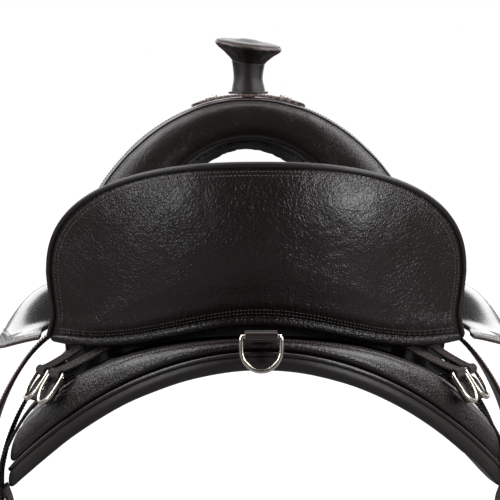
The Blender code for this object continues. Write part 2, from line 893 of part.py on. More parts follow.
def pommel_cover():
    low = ARCH_PLATE_HIGH + ARCH_GAP
    rear = LAYERS_Y
    front = ARCH_FRONT_Y
    section = [
        (low, rear),
        (1.0 - 0.12, rear),
        (1.0 - 0.03, rear + 0.25 * COVER_ROUND),
        (1.0, rear + COVER_ROUND),
        (1.0, front - COVER_ROUND),
        (1.0 - 0.05, front - 0.25 * COVER_ROUND),
        (1.0 - 0.17, front),
        (low, front),
    ]
    return arch("pommel_cover", section, smooth_leather())


def gullet_lining():
    high = ARCH_PLATE_LOW - ARCH_GAP
    rear = LAYERS_Y
    front = ARCH_FRONT_Y
    middle = mix(rear, front, 0.5)
    section = [(0.0, rear), (high, rear), (high, front)]
    section += [(-LINING_DROP, front), (-0.35 * LINING_DROP, middle)]
    arch("gullet_lining", section, felt())


# Horn

def horn_shear(point):
    """Vertical shift that tilts the cap: higher on the left, lower behind."""
    return -point.x * math.tan(math.radians(HORN_LEAN_X)) + point.y * math.tan(math.radians(HORN_LEAN_Y))


ARCH_PLATE_TOP = mix(ARCH_INNER_TOP, ARCH_OUTER_TOP, ARCH_PLATE_HIGH)
COLLAR_TOP = ARCH_OUTER_TOP + GAP + COLLAR_THICKNESS


def horn_hole(name, low, high):
    start = Vector((0.0, HORN_Y, low))
    return rod(name, start, Vector((0.0, HORN_Y, high)), HORN_CORE_RADIUS + HORN_BORE, nickel())


def horn_collar(cutter):
    """Thin leather layer that follows the arch's top, round the foot of the horn."""
    thickness = ARCH_OUTER_TOP - ARCH_INNER_TOP
    low = 1.0 + GAP / thickness
    high = low + COLLAR_THICKNESS / thickness
    rear = HORN_Y - 0.5 * COLLAR_DEPTH
    front = HORN_Y + 0.5 * COLLAR_DEPTH
    section = [(low, rear), (high, rear), (high, front), (low, front)]
    reach = math.asin(COLLAR_HALF_WIDTH / ARCH_OUTER_HALF)
    collar = arch("horn_collar", section, smooth_leather(), reach=reach, steps=12)
    cut(collar, cutter)


def horn_core():
    low = ARCH_PLATE_TOP + LAYER_GAP
    high = HORN_NECK_TOP_Z + HORN_SOCKET - HORN_CORE_SHORT
    rod("horn_core", Vector((0.0, HORN_Y, low)), Vector((0.0, HORN_Y, high)), HORN_CORE_RADIUS, nickel())


def horn_neck():
    """Wrapped neck round the core; its top is sheared to carry the tilted cap."""
    bore = HORN_CORE_RADIUS + HORN_BORE
    low = COLLAR_TOP + GAP
    span = HORN_NECK_TOP_Z - low
    profile = [
        (HORN_NECK_RADIUS + HORN_FOOT_FLARE, 0.0),
        (HORN_NECK_RADIUS, 0.10 * span),
        (mix(HORN_NECK_RADIUS, HORN_NECK_WAIST, 0.8), 0.35 * span),
        (HORN_NECK_WAIST, 0.55 * span),
        (mix(HORN_NECK_RADIUS, HORN_NECK_WAIST, 0.6), 0.80 * span),
        (HORN_NECK_RADIUS, span),
        (bore, span),
        (bore, 0.0),
    ]

    def shear(point):
        return horn_shear(point) * smooth(point.z / span)

    turned("horn_neck", profile, smooth_leather(), place=(0.0, HORN_Y, low), shear=shear, closed=True)


def horn_cap():
    """Flared cap with a rolled lip and a slightly domed top, and a socket for the core."""
    bore = HORN_CORE_RADIUS + HORN_BORE
    lip = HORN_LIP_Z - HORN_NECK_TOP_Z
    profile = [
        (bore, HORN_SOCKET),
        (bore, GAP),
        (HORN_NECK_RADIUS, GAP),
        (HORN_NECK_RADIUS + HORN_CAP_ROUND, 0.22 * lip),
        (mix(HORN_NECK_RADIUS, HORN_CAP_RADIUS, 0.50), 0.55 * lip),
        (HORN_CAP_RADIUS - HORN_CAP_ROUND, 0.80 * lip),
        (HORN_CAP_RADIUS, lip),
        (HORN_CAP_RADIUS - 0.4 * HORN_CAP_ROUND, lip + HORN_CAP_ROUND),
        (HORN_CAP_RADIUS - 2.0 * HORN_CAP_ROUND, lip + 1.7 * HORN_CAP_ROUND),
        (HORN_CAP_RADIUS * 0.50, lip + 0.75 * HORN_CAP_CROWN),
        (HORN_CAP_RADIUS * 0.20, lip + HORN_CAP_CROWN),
    ]
    turned("horn_cap", profile, grain_leather(), place=(0.0, HORN_Y, HORN_NECK_TOP_Z), shear=horn_shear)


def rosette(side, name):
    """Small domed screw head on the collar."""
    turn = side * math.asin(ROSETTE_X / ARCH_OUTER_HALF)
    spot = arch_point(1.0, HORN_Y - ROSETTE_SETBACK, turn)
    spot.z += GAP + COLLAR_THICKNESS + LAYER_GAP
    slope = math.atan2(spot.x * ARCH_OUTER_TOP ** 2, spot.z * ARCH_OUTER_HALF ** 2)
    profile = [
        (ROSETTE_RADIUS, 0.0),
        (ROSETTE_RADIUS, 0.30 * ROSETTE_HEIGHT),
        (0.75 * ROSETTE_RADIUS, 0.80 * ROSETTE_HEIGHT),
        (0.30 * ROSETTE_RADIUS, ROSETTE_HEIGHT),
    ]
    made = turned(name, profile, nickel(), sides=12)
    made.rotation_euler = (0.0, slope, 0.0)
    made.location = spot


# Seat jockeys

def seat_v_at(y):
    """The share of the seat's length at which its side lies at y."""
    low, high = 0.0, 1.0
    for _ in range(30):
        v = 0.5 * (low + high)
        low, high = (low, v) if seat_top(1.0, v).y > y else (v, high)
    return low


def jockey_edge(y):
    """Inner edge of the jockey, under the seat's side and outside the cantle's corner."""
    v = seat_v_at(y)
    corner = CANTLE_CORNER_HALF + RIM_RADIUS + LAYER_GAP
    corner_y = cantle_y(CANTLE_CORNER_HALF, CANTLE_CORNER_Z) + 2.0 * RIM_RADIUS
    past_corner = smooth((y - corner_y) / JOCKEY_TURN)
    x = mix(corner + HANG_GAP, seat_half(v) + HANG_GAP, past_corner)
    z = mix(JOCKEY_REAR_Z, seat_side_z(v) - JOCKEY_UNDER_SEAT, smooth((y - JOCKEY_REAR_Y) / JOCKEY_RISE))
    return x, z


def jockey_surface(y, share):
    inner_x, inner_z = jockey_edge(y)
    middle = 0.5 * (JOCKEY_REAR_Y + JOCKEY_FRONT_Y)
    if y < middle:
        ease = smooth((y - JOCKEY_REAR_Y) / JOCKEY_RISE)
        reach = mix(JOCKEY_REAR_REACH, JOCKEY_MID_REACH, ease)
        drop = mix(JOCKEY_REAR_DROP, JOCKEY_MID_DROP, ease)
    else:
        ease = 1.0
        forward = smooth((y - middle) / (JOCKEY_FRONT_Y - middle))
        reach = mix(JOCKEY_MID_REACH, JOCKEY_FRONT_REACH, forward)
        drop = mix(JOCKEY_MID_DROP, JOCKEY_FRONT_DROP, forward)
    curl = mix(JOCKEY_REAR_CURL, JOCKEY_CURL, ease)
    corner = roll_off(max(min(y - JOCKEY_REAR_Y, JOCKEY_FRONT_Y - y), 0.0), JOCKEY_CORNER)
    x = mix(inner_x, mix(inner_x + JOCKEY_END_WIDTH, reach, corner), share)
    return Vector((x, y, inner_z - drop * ((x - inner_x) / (reach - inner_x)) ** curl))


def jockey(side, name):
    top = []
    bottom = []
    for k in range(JOCKEY_ROWS + 1):
        y = mix(JOCKEY_REAR_Y, JOCKEY_FRONT_Y, 0.5 - 0.5 * math.cos(math.pi * k / JOCKEY_ROWS))
        row_top = []
        row_bottom = []
        for n in range(JOCKEY_COLUMNS + 1):
            share = n / JOCKEY_COLUMNS
            point = jockey_surface(y, share)
            across = jockey_surface(y, share + 0.1 / JOCKEY_COLUMNS) - point
            lift = min(across.length / max(across.x, MERGE), JOCKEY_SLOPE_LIMIT)
            low = point - Vector((0.0, 0.0, JOCKEY_THICKNESS * lift))
            row_top.append(Vector((side * point.x, point.y, point.z)))
            row_bottom.append(Vector((side * low.x, low.y, low.z)))
        top.append(row_top)
        bottom.append(row_bottom)
    grid_solid(name, top, bottom, smooth_leather())


# Stirrup ring and its strap

def mirrored(points, side):
    return [Vector((side * point.x, point.y, point.z)) for point in points]


def stirrup_ring(side, name):
    points = []
    for k in range(20):
        turn = 2.0 * math.pi * k / 20
        points.append((0.0, RING_RADIUS * math.cos(turn), RING_RADIUS * math.sin(turn)))
    closed_wire(name, points, RING_WIRE, nickel(), (side * RING_X, RING_Y, RING_Z))


def ring_strap(side, name):
    """Webbing from under the seat, looped over the top of the stirrup ring."""
    loop = RING_WIRE + 0.5 * RING_STRAP_THICKNESS + RING_STRAP_SLACK
    centre = Vector((RING_X, RING_Y, RING_Z + RING_RADIUS - RING_STRAP_SINK))
    wall = seat_half(seat_v_at(RING_Y - 0.5 * RING_STRAP_WIDTH)) + HANG_GAP
    path = [Vector((wall, RING_Y, centre.z + loop))]
    path.append(Vector((RING_X - 1.2 * loop, RING_Y, centre.z + loop)))
    for k in range(9):
        turn = math.radians(90.0 - 22.5 * k)
        path.append(centre + Vector((loop * math.cos(turn), 0.0, loop * math.sin(turn))))
    path.append(Vector((RING_X - loop, RING_Y, centre.z - loop + RING_STRAP_CLOSE)))
    path.append(Vector((wall, RING_Y, centre.z + loop - WEBBING - LAYER_GAP)))
    forward = Vector((0.0, 1.0, 0.0))
    ribbon(name, mirrored(path, side), forward, RING_STRAP_WIDTH, RING_STRAP_THICKNESS, webbing())


# Fender body

def hang_curve(start, end):
    """Curve of a strap that leaves start level and ends hanging straight down at end."""
    points = []
    for k in range(HANG_STEPS + 1):
        turn = 0.5 * math.pi * k / HANG_STEPS
        x = mix(start.x, end.x, math.sin(turn) ** HANG_BEND)
        points.append(Vector((x, start.y, mix(end.z, start.z, math.cos(turn)))))
    return points


def leather_path():
    """Centre line of the stirrup leather: round the ring, down the inside, round the bolt and up again."""
    top = Vector((RING_X, RING_Y, RING_Z - RING_RADIUS + LEATHER_SINK))
    loop = RING_WIRE + 0.5 * LEATHER_THICKNESS + LEATHER_SLACK
    points = []
    for k in range(7):
        turn = math.radians(60.0 + 35.0 * k)
        points.append(top + Vector((loop * math.cos(turn), 0.0, loop * math.sin(turn))))
    away = Vector((RING_X + LEATHER_RUNOUT, RING_Y, top.z - loop - GAP))
    points += hang_curve(away, Vector((LEATHER_X, RING_Y, LEATHER_HANG_Z)))
    points.append(Vector((LEATHER_X, RING_Y, mix(LEATHER_HANG_Z, BOLT_Z, 0.5))))
    points.append(Vector((LEATHER_X, RING_Y, BOLT_Z)))
    bend = STIRRUP_X - LEATHER_X
    for k in range(1, 9):
        turn = math.radians(180.0 + 22.5 * k)
        points.append(Vector((STIRRUP_X + bend * math.cos(turn), RING_Y, BOLT_Z + bend * math.sin(turn))))
    points.append(Vector((STIRRUP_X + bend, RING_Y, mix(BOLT_Z, BUCKLE_Z, 0.5))))
    points.append(Vector((STIRRUP_X + bend, RING_Y, BUCKLE_Z + LEATHER_OVERLAP)))
    return points


def stirrup_leather(side, name):
    path = leather_path()
    widths = []
    for point in path:
        spread = smooth((point.x - RING_X - LEATHER_RUNOUT) / LEATHER_SPREAD)
        widths.append(mix(LEATHER_NECK, LEATHER_WIDTH, spread))
    ribbon(name, mirrored(path, side), Vector((0.0, 1.0, 0.0)), widths, LEATHER_THICKNESS, webbing())


def fender_path():
    start = Vector((FENDER_START_X, RING_Y, FENDER_START_Z))
    end = Vector((FENDER_X, RING_Y, FENDER_HANG_Z))
    points = hang_curve(start, end)
    for k in range(FENDER_TAIL_STEPS):
        z = mix(FENDER_HANG_Z, FENDER_BOTTOM_Z, (k + 1) / FENDER_TAIL_STEPS)
        points.append(Vector((FENDER_X, RING_Y, z)))
    return points


def fender_width(z):
    """Narrow strap at the top, a broad leaf at the rider's calf, and a narrow tail."""
    if z > FENDER_SHOULDER_Z:
        share = smooth((FENDER_NECK_Z - z) / (FENDER_NECK_Z - FENDER_SHOULDER_Z))
        return mix(FENDER_NECK_WIDTH, FENDER_SHOULDER_WIDTH, share)
    if z > FENDER_WIDEST_Z:
        share = smooth((FENDER_SHOULDER_Z - z) / (FENDER_SHOULDER_Z - FENDER_WIDEST_Z))
        return mix(FENDER_SHOULDER_WIDTH, FENDER_WIDEST, share)
    tail = HOBBLE_Z + HOBBLE_HEIGHT
    share = smooth((FENDER_WIDEST_Z - z) / (FENDER_WIDEST_Z - tail))
    return mix(FENDER_WIDEST, FENDER_BOTTOM_WIDTH, share)


def fender(side, name):
    path = fender_path()
    widths = [fender_width(point.z) for point in path]
    ribbon(name, mirrored(path, side), Vector((0.0, 1.0, 0.0)), widths, FENDER_THICKNESS, smooth_leather())


def band(name, low, high, wall, look):
    """Flat strap sewn to a closed rectangular loop: low and high are the corners of its hole."""
    rings = []
    corners = ((low.x, low.y), (high.x, low.y), (high.x, high.y), (low.x, high.y))
    outward = ((-1, -1), (1, -1), (1, 1), (-1, 1))
    for z, grown in ((low.z, 0.0), (low.z, wall), (high.z, wall), (high.z, 0.0)):
        ring = []
        for (x, y), (dx, dy) in zip(corners, outward):
            ring.append(Vector((x + dx * grown, y + dy * grown, z)))
        rings.append(ring)
    return loft(name, rings, look, closed=True)


def hobble_strap(side, name):
    """Strap that ties the stirrup leather and the fender's tail together."""
    inner = LEATHER_X - 0.5 * LEATHER_THICKNESS - LAYER_GAP
    outer = FENDER_X + 0.5 * FENDER_THICKNESS + LAYER_GAP
    half = 0.5 * FENDER_BOTTOM_WIDTH + HOBBLE_ROOM
    low = Vector((min(side * inner, side * outer), RING_Y - half, HOBBLE_Z - 0.5 * HOBBLE_HEIGHT))
    high = Vector((max(side * inner, side * outer), RING_Y + half, HOBBLE_Z + 0.5 * HOBBLE_HEIGHT))
    band(name, low, high, HOBBLE_THICKNESS, smooth_leather())


def leather_buckle(side, name):
    """Flat adjusting buckle on the inner run of the stirrup leather."""
    inner = LEATHER_X - 0.5 * LEATHER_THICKNESS - LAYER_GAP
    hole = Vector((0.5 * BUCKLE_HEIGHT, 0.5 * LEATHER_WIDTH - GAP, 0.5))
    centre = Vector((0.0, RING_Y, 0.0))
    frame = band(name, centre - hole, centre + hole, BUCKLE_FRAME, nickel())
    for vertex in frame.data.vertices:
        flat = vertex.co.copy()
        x = side * (inner - BUCKLE_THICKNESS * (0.5 + flat.z))
        vertex.co = Vector((x, flat.y, BUCKLE_Z + side * flat.x))
    frame.data.update()


# Stirrup

def stirrup_path():
    """Centre line of the bow: straight ears at the bolt, spreading sides, and round corners at the tread."""
    knee = STIRRUP_HEIGHT - STIRRUP_CORNER
    half = [Vector((0.0, STIRRUP_TOP_HALF, STIRRUP_EAR))]
    for k in range(6):
        share = k / 5
        spread = smooth(share) ** 0.5
        y = mix(STIRRUP_TOP_HALF, STIRRUP_BASE_HALF, spread)
        half.append(Vector((0.0, y, mix(-STIRRUP_EAR, -knee, share))))
    for k in range(1, 4):
        turn = math.radians(30.0 * k)
        y = STIRRUP_BASE_HALF - STIRRUP_CORNER * (1.0 - math.cos(turn))
        half.append(Vector((0.0, y, -knee - STIRRUP_CORNER * math.sin(turn))))
    down = spline(half, 1)
    back = [Vector((0.0, -point.y, point.z)) for point in reversed(down)]
    return down + back


def stirrup_bow(side, name, place, cutter):
    """Bell shaped bow: narrow at the bolt, broad and deep at the tread."""
    path = [point + place for point in stirrup_path()]
    widths = []
    for point in path:
        share = smooth((place.z - point.z) / STIRRUP_HEIGHT)
        widths.append(mix(STIRRUP_TOP_DEPTH, STIRRUP_BASE_DEPTH, share))
    bow = ribbon(name, path, Vector((1.0, 0.0, 0.0)), widths, STIRRUP_WALL, smooth_leather())
    cut(bow, cutter)


def stirrup_tread(name, place):
    low = -STIRRUP_HEIGHT + 0.5 * STIRRUP_WALL + GAP
    rings = []
    half_depth = 0.5 * STIRRUP_BASE_DEPTH - TREAD_MARGIN
    for z, inset in ((low, 0.0), (low + 0.7 * TREAD_THICKNESS, 0.0), (low + TREAD_THICKNESS, TREAD_CHAMFER)):
        x = half_depth - inset
        y = STIRRUP_BASE_HALF - STIRRUP_CORNER - inset
        rings.append([place + Vector(corner) for corner in ((-x, -y, z), (x, -y, z), (x, y, z), (-x, y, z))])
    loft(name, rings, felt())


def stirrup_bolt(name, place):
    """Bolt through the bow's ears, with a round head at each end."""
    outer = STIRRUP_TOP_HALF + 0.5 * STIRRUP_WALL + HANG_GAP
    head = BOLT_RADIUS * 1.7
    profile = [
        (0.5 * head, -outer - BOLT_HEAD),
        (head, -outer - 0.6 * BOLT_HEAD),
        (head, -outer),
        (BOLT_RADIUS, -outer),
        (BOLT_RADIUS, outer),
        (head, outer),
        (head, outer + 0.6 * BOLT_HEAD),
        (0.5 * head, outer + BOLT_HEAD),
    ]
    made = turned(name, profile, nickel(), sides=16)
    made.rotation_euler = (math.radians(90.0), 0.0, 0.0)
    made.location = place


def stirrup(side, label):
    place = Vector((side * STIRRUP_X, RING_Y, BOLT_Z))
    reach = Vector((0.0, STIRRUP_TOP_HALF + STIRRUP_WALL, 0.0))
    hole = rod("bolt_hole_" + label, place - reach, place + reach, BOLT_RADIUS + GAP, nickel())
    stirrup_bow(side, "stirrup_bow_" + label, place, hole)
    stirrup_tread("stirrup_tread_" + label, place)
    stirrup_bolt("stirrup_bolt_" + label, place)


# Rings and their straps

def dee_points(width, height, wire):
    """D-ring hanging from its straight bar: rounded corners, then a deep bow. Local X runs along the bar."""
    half = 0.5 * width
    corner = 1.6 * wire
    points = []
    for k in range(4):
        turn = math.radians(30.0 * k)
        points.append((half - corner + corner * math.sin(turn), -corner + corner * math.cos(turn)))
    straight = -0.38 * height
    for k in range(11):
        turn = math.pi * k / 10
        points.append((half * math.cos(turn), straight - (height + straight) * math.sin(turn)))
    for k in range(4):
        turn = math.radians(90.0 - 30.0 * k)
        points.append((-half + corner - corner * math.sin(turn), -corner + corner * math.cos(turn)))
    return points


def dee(name, place, bar, width, height, wire, up=Vector((0.0, 0.0, 1.0))):
    """D-ring that hangs from a bar along the given direction, with its origin on the bar's axis."""
    points = [bar * x + up * z for x, z in dee_points(width, height, wire)]
    return closed_wire(name, points, wire, nickel(), place)


def strap_bend(wire, thickness):
    """Distance from a ring's bar to the middle of the strap that is folded round it."""
    return wire + GAP + 0.5 * thickness + STRAP_BEND_GAP


def loop_strap(name, place, inward, width, length, wire, rise, look, thickness=STRAP_THICKNESS):
    """Folded strap: from its sewn end to the ring's bar, round it and back underneath."""
    across = Vector((-inward.y, inward.x, 0.0))
    bend = strap_bend(wire, thickness)
    up = Vector((0.0, 0.0, 1.0))
    path = [place + inward * length + up * (rise + bend)]
    path.append(place + inward * (FOLD_SHARE * length) + up * (bend + FOLD_RISE * rise))
    path.append(place + inward * wire * 2.0 + up * bend)
    for k in range(9):
        turn = math.radians(22.5 * k)
        path.append(place - inward * (bend * math.sin(turn)) + up * (bend * math.cos(turn)))
    close = thickness + GAP
    path.append(place + inward * (FOLD_CLOSE * bend) + up * (0.6 * bend - 0.8 * close))
    path.append(place + inward * (FOLD_SHARE * length) + up * (bend + FOLD_RISE * rise - close))
    return ribbon(name, path, across, width, thickness, look)


def centre_dee():
    place = Vector((0.0, PAD_REAR_Y - DEE_STANDOFF, CENTRE_DEE_Z))
    dee("centre_dee", place, Vector((1.0, 0.0, 0.0)), CENTRE_DEE_WIDTH, CENTRE_DEE_HEIGHT, DEE_WIRE)
    foot = core_wall_y(0.0, on_skirt(0.0, CANTLE_REAR_Y).z + STRAP_THICKNESS) - LAYER_GAP
    length = foot - place.y
    rise = on_skirt(0.0, foot).z + 0.5 * STRAP_THICKNESS - place.z - strap_bend(DEE_WIRE, STRAP_THICKNESS)
    forward = Vector((0.0, 1.0, 0.0))
    loop_strap("centre_tab", place, forward, CENTRE_TAB_WIDTH, length, DEE_WIRE, rise, webbing())


def side_dee_bar(degrees, side):
    turn = math.radians(degrees)
    return Vector((side * math.cos(turn), math.sin(turn), 0.0))


def reach_core(place, inward, across):
    """How far a strap of a given half width runs inwards before it meets the cantle's core."""
    low, high = 0.0, SIDE_STRAP_LONGEST
    for _ in range(30):
        length = 0.5 * (low + high)
        ends = [place + inward * length + across * step for step in (-1.0, 1.0)]
        clear = all(end.y < core_wall_y(end.x, place.z + SIDE_STRAP_RISE) - STRAP_THICKNESS for end in ends)
        low, high = (length, high) if clear else (low, length)
    return low


def side_dees(side, label):
    """Two rings beside each other on their straps, leaning on the leather that backs both."""
    first = Vector((side * SIDE_DEE_X, pad_rear(SIDE_DEE_X) + SIDE_DEE_INSET, SIDE_DEE_Z))
    line = side_dee_bar(SIDE_DEE_LINE, side)
    lean = math.radians(SIDE_DEE_LEAN)
    for n, part in enumerate(("inner", "outer")):
        place = first + line * (SIDE_DEE_PITCH * n)
        bar = side_dee_bar(SIDE_DEE_TURN[n], side)
        inward = Vector((-side * bar.y, side * bar.x, 0.0))
        up = Vector((0.0, 0.0, math.cos(lean))) + inward * math.sin(lean)
        suffix = f"{part}_{label}"
        dee("side_dee_" + suffix, place, bar, SIDE_DEE_WIDTH, SIDE_DEE_HEIGHT, DEE_WIRE, up)
        length = reach_core(place, inward, bar * (0.5 * SIDE_STRAP_WIDTH))
        name = "side_strap_" + suffix
        loop_strap(name, place, inward, SIDE_STRAP_WIDTH, length, DEE_WIRE, SIDE_STRAP_RISE, webbing())
    middle = first + line * (0.5 * SIDE_DEE_PITCH)
    strap_backing("strap_backing_" + label, middle, line, side, lean)


def strap_backing(name, place, bar, side, lean):
    """Leather under both straps that ends behind the rings, which lean on it."""
    inward = Vector((-side * bar.y, side * bar.x, 0.0))
    up = Vector((0.0, 0.0, 1.0))
    hang = -up * math.cos(lean) - inward * math.sin(lean)
    behind = inward * math.cos(lean) - up * math.sin(lean)
    below = strap_bend(DEE_WIRE, STRAP_THICKNESS) + 0.5 * (STRAP_THICKNESS + BACKING_THICKNESS) + LAYER_GAP
    path = [place + inward * BACKING_REACH + up * (BACKING_RISE - below)]
    path.append(place + inward * (2.0 * DEE_WIRE) - up * (below + 2.0 * GAP))
    for share in (0.35, 0.65, 0.95):
        path.append(place + hang * (share * SIDE_DEE_HEIGHT) + behind * (DEE_WIRE + BACKING_THICKNESS))
    ribbon(name, path, bar, BACKING_WIDTH, BACKING_THICKNESS, smooth_leather())


def front_dee(side, label):
    """D-ring for a breast collar, in front of the pommel's leg."""
    x = side * FRONT_DEE_X
    y = pad_front(x) + DEE_STANDOFF
    z = on_skirt(x, y - SKIRT_ROLL).z
    place = Vector((x, y, z))
    bar = Vector((1.0, 0.0, 0.0))
    dee("front_dee_" + label, place, bar, SIDE_DEE_WIDTH, SIDE_DEE_HEIGHT, DEE_WIRE)
    rearward = Vector((0.0, -1.0, 0.0))
    length = place.y - flared(ARCH_FRONT_Y, 1.0) - LAYER_GAP
    rise = on_skirt(x, place.y - length).z + STRAP_THICKNESS - place.z
    loop_strap("front_strap_" + label, place, rearward, FRONT_STRAP_WIDTH, length, DEE_WIRE, rise, webbing())


def strap_over_skirt(x, lie):
    """Point of the rigging strap's middle, high enough for both of its edges."""
    edges = [on_skirt(x, RIGGING_Y + step * RIGGING_STRAP_WIDTH, lie).z for step in (-0.5, 0.5)]
    return Vector((x, RIGGING_Y, max(edges)))


def rigging(side, label):
    """Strap over the skirt and down past the pad's edge, with the ring for the girth."""
    place = Vector((side * RIGGING_X, RIGGING_Y, RIGGING_RING_Z))
    bar = Vector((0.0, 1.0, 0.0))
    dee("rigging_ring_" + label, place, bar, RIGGING_RING_WIDTH, RIGGING_RING_HEIGHT, RIGGING_RING_WIRE)
    bend = strap_bend(RIGGING_RING_WIRE, WEBBING)
    lie = 0.5 * WEBBING + FOOT_GAP
    fall = RIGGING_X + bend
    start = seat_half(seat_v_at(RIGGING_Y)) + HANG_GAP
    over = [strap_over_skirt(mix(start, PAD_HALF_WIDTH, share), lie) for share in (0.0, 0.25, 0.50, 0.75)]
    edge = strap_over_skirt(PAD_HALF_WIDTH, lie)
    over.append(Vector((PAD_HALF_WIDTH + 0.5 * (fall - PAD_HALF_WIDTH), RIGGING_Y, edge.z)))
    over.append(Vector((fall, RIGGING_Y, edge.z - RIGGING_DRAPE)))
    over.append(Vector((fall, RIGGING_Y, RIGGING_RING_Z + RIGGING_FOLD)))
    path = spline(over, 2)
    for k in range(9):
        turn = math.radians(22.5 * k)
        path.append(place_right(bend * math.cos(turn), -bend * math.sin(turn)))
    path.append(place_right(0.4 * WEBBING - bend, FOLD_CLOSE * bend))
    path.append(place_right(bend - WEBBING - GAP, 2.0 * FOLD_CLOSE * bend))
    ribbon("rigging_strap_" + label, mirrored(path, side), bar, RIGGING_STRAP_WIDTH, WEBBING, webbing())


def place_right(out, up):
    return Vector((RIGGING_X + out, RIGGING_Y, RIGGING_RING_Z + up))


def clear_scene():
    for found in list(bpy.data.objects):
        bpy.data.objects.remove(found, do_unlink=True)


def main():
    clear_scene()
    base_pad()
    skirt()
    cantle_back()
    cantle_rim()
    cantle_core()
    seat_foam()
    ground_seat()
    seat_cushion()
    pommel_roll()
    hole = horn_hole("horn_hole", ARCH_PLATE_TOP, COLLAR_TOP + 0.01)
    pommel_arch()
    cut(pommel_cover(), hole)
    gullet_lining()
    horn_collar(hole)
    horn_core()
    horn_neck()
    horn_cap()
    centre_dee()
    for side, label in ((-1.0, "left"), (1.0, "right")):
        panel(side, "panel_" + label)
        rosette(side, "rosette_" + label)
        jockey(side, "jockey_" + label)
        stirrup_ring(side, "stirrup_ring_" + label)
        ring_strap(side, "ring_strap_" + label)
        stirrup_leather(side, "stirrup_leather_" + label)
        fender(side, "fender_" + label)
        hobble_strap(side, "hobble_strap_" + label)
        leather_buckle(side, "leather_buckle_" + label)
        stirrup(side, label)
        rigging(side, label)
        side_dees(side, label)
        front_dee(side, label)


main()
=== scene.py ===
"""Treeless saddle, dressed: leather, webbing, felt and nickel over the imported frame."""
import math
import random

import bmesh
import bpy
import numpy as np
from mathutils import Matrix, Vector, noise
from mathutils.bvhtree import BVHTree
from mathutils.kdtree import KDTree

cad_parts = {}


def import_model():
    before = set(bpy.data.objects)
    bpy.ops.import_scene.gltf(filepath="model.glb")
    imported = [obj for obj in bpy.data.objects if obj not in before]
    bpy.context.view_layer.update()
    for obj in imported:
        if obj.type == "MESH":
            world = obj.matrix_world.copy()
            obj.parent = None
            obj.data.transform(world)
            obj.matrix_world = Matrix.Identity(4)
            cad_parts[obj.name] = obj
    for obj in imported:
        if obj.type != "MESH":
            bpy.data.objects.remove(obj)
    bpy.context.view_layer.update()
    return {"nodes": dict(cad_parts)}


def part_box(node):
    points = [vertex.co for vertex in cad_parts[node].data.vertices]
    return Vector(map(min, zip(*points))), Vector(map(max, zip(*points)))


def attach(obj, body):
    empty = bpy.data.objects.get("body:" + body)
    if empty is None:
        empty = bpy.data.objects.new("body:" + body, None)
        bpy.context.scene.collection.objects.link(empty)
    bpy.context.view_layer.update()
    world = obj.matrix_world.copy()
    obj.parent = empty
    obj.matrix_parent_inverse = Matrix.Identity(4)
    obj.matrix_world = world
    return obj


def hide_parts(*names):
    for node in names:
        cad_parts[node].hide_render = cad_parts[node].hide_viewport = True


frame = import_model()

# Camera of the photograph
CAMERA_TARGET = Vector((-0.0092, -0.245, 0.1054))
CAMERA_DISTANCE = 1.9
CAMERA_ELEVATION = 4.0
CAMERA_YAW = 1.35
FRAME_WIDTH = 0.4475
SENSOR = 36.0
FLOOR_Z = -0.605
FLOOR_RADIUS = 14.0
FLOOR_GLOW_FROM = 0.9
FLOOR_GLOW_TO = 2.0

# Fits between pieces, as in the frame
GAP = 0.0003
LAYER_GAP = 0.0005
FOOT_GAP = 0.0014
HANG_GAP = 0.0012

# Base pad and skirt, in the same sizes as the frame
PAD_REAR_Y = -0.270
PAD_FRONT_Y = 0.315
PAD_HALF_WIDTH = 0.240
REAR_SWEEP = 2.2
REAR_CORNER = 0.050
FRONT_CORNER = 0.090
CORNER_POWER = 2.6
NOTCH_DEPTH = 0.045
NOTCH_HALF_WIDTH = 0.085
PAD_THICKNESS = 0.016
SKIRT_THICKNESS = 0.0130
SKIRT_INSET = 0.0030
SKIRT_SWELL = 0.0160
SKIRT_SWELL_X = 0.190
SKIRT_SWELL_REAR_Y = -0.200
SKIRT_SWELL_END_Y = 0.060
SKIRT_ROLL = 0.028
PAD_ROLL = 0.010
PANEL_THICKNESS = 0.0090
PANEL_HEADROOM = 0.0010
PANEL_CLEARANCE = 0.0025
CHANNEL_HALF_WIDTH = 0.030
LIP_WIDTH = 0.026
LIP_SLOPE = 0.006
BACK_ROCKER = 0.35
BACK_LOW_Y = -0.08
BACK_SPREAD_REAR = 2.1
BACK_SPREAD_FRONT = 2.7

# Cantle
CANTLE_HALF_WIDTH = 0.2005
CANTLE_WIDEST_Z = 0.074
CANTLE_TOP_Z = 0.1844
CANTLE_POWER = 2.4
CANTLE_WAIST_HALF = 0.1967
CANTLE_WAIST_Z = 0.034
CANTLE_CORNER_HALF = 0.2020
CANTLE_CORNER_Z = 0.0125
CANTLE_BOTTOM_Z = 0.0345
CANTLE_BOTTOM_DROP = 0.0270
CANTLE_BOTTOM_REACH = 0.165
CANTLE_REAR_Y = -0.215
CANTLE_SWEEP = 2.5
CANTLE_LEAN = 0.20
CANTLE_BULGE = 0.0075
CANTLE_CROWN = 0.0160
CANTLE_LEATHER = 0.0040
RIM_RADIUS = 0.0030

# Seat
SEAT_REAR_HALF = 0.1935
SEAT_FRONT_HALF = 0.112
SEAT_FRONT_Y = 0.150
SEAT_LOW_Z = 0.078
SEAT_LOW_AT = 0.55
SEAT_FRONT_Z = 0.128
SEAT_SIDE_Z = 0.074
SEAT_SIDE_DIP = 0.007
CUSHION_EDGE = 0.004
CUSHION_CROWN = 0.020
CUSHION_ROLL = 0.16
CHANNEL_AT = 0.70
GROUND_SEAT = 0.004
FOAM_TUCK = 0.93
CORE_TUCK = 0.018
CORE_SHARE = 5 / 18
CORE_JOINT = 0.002

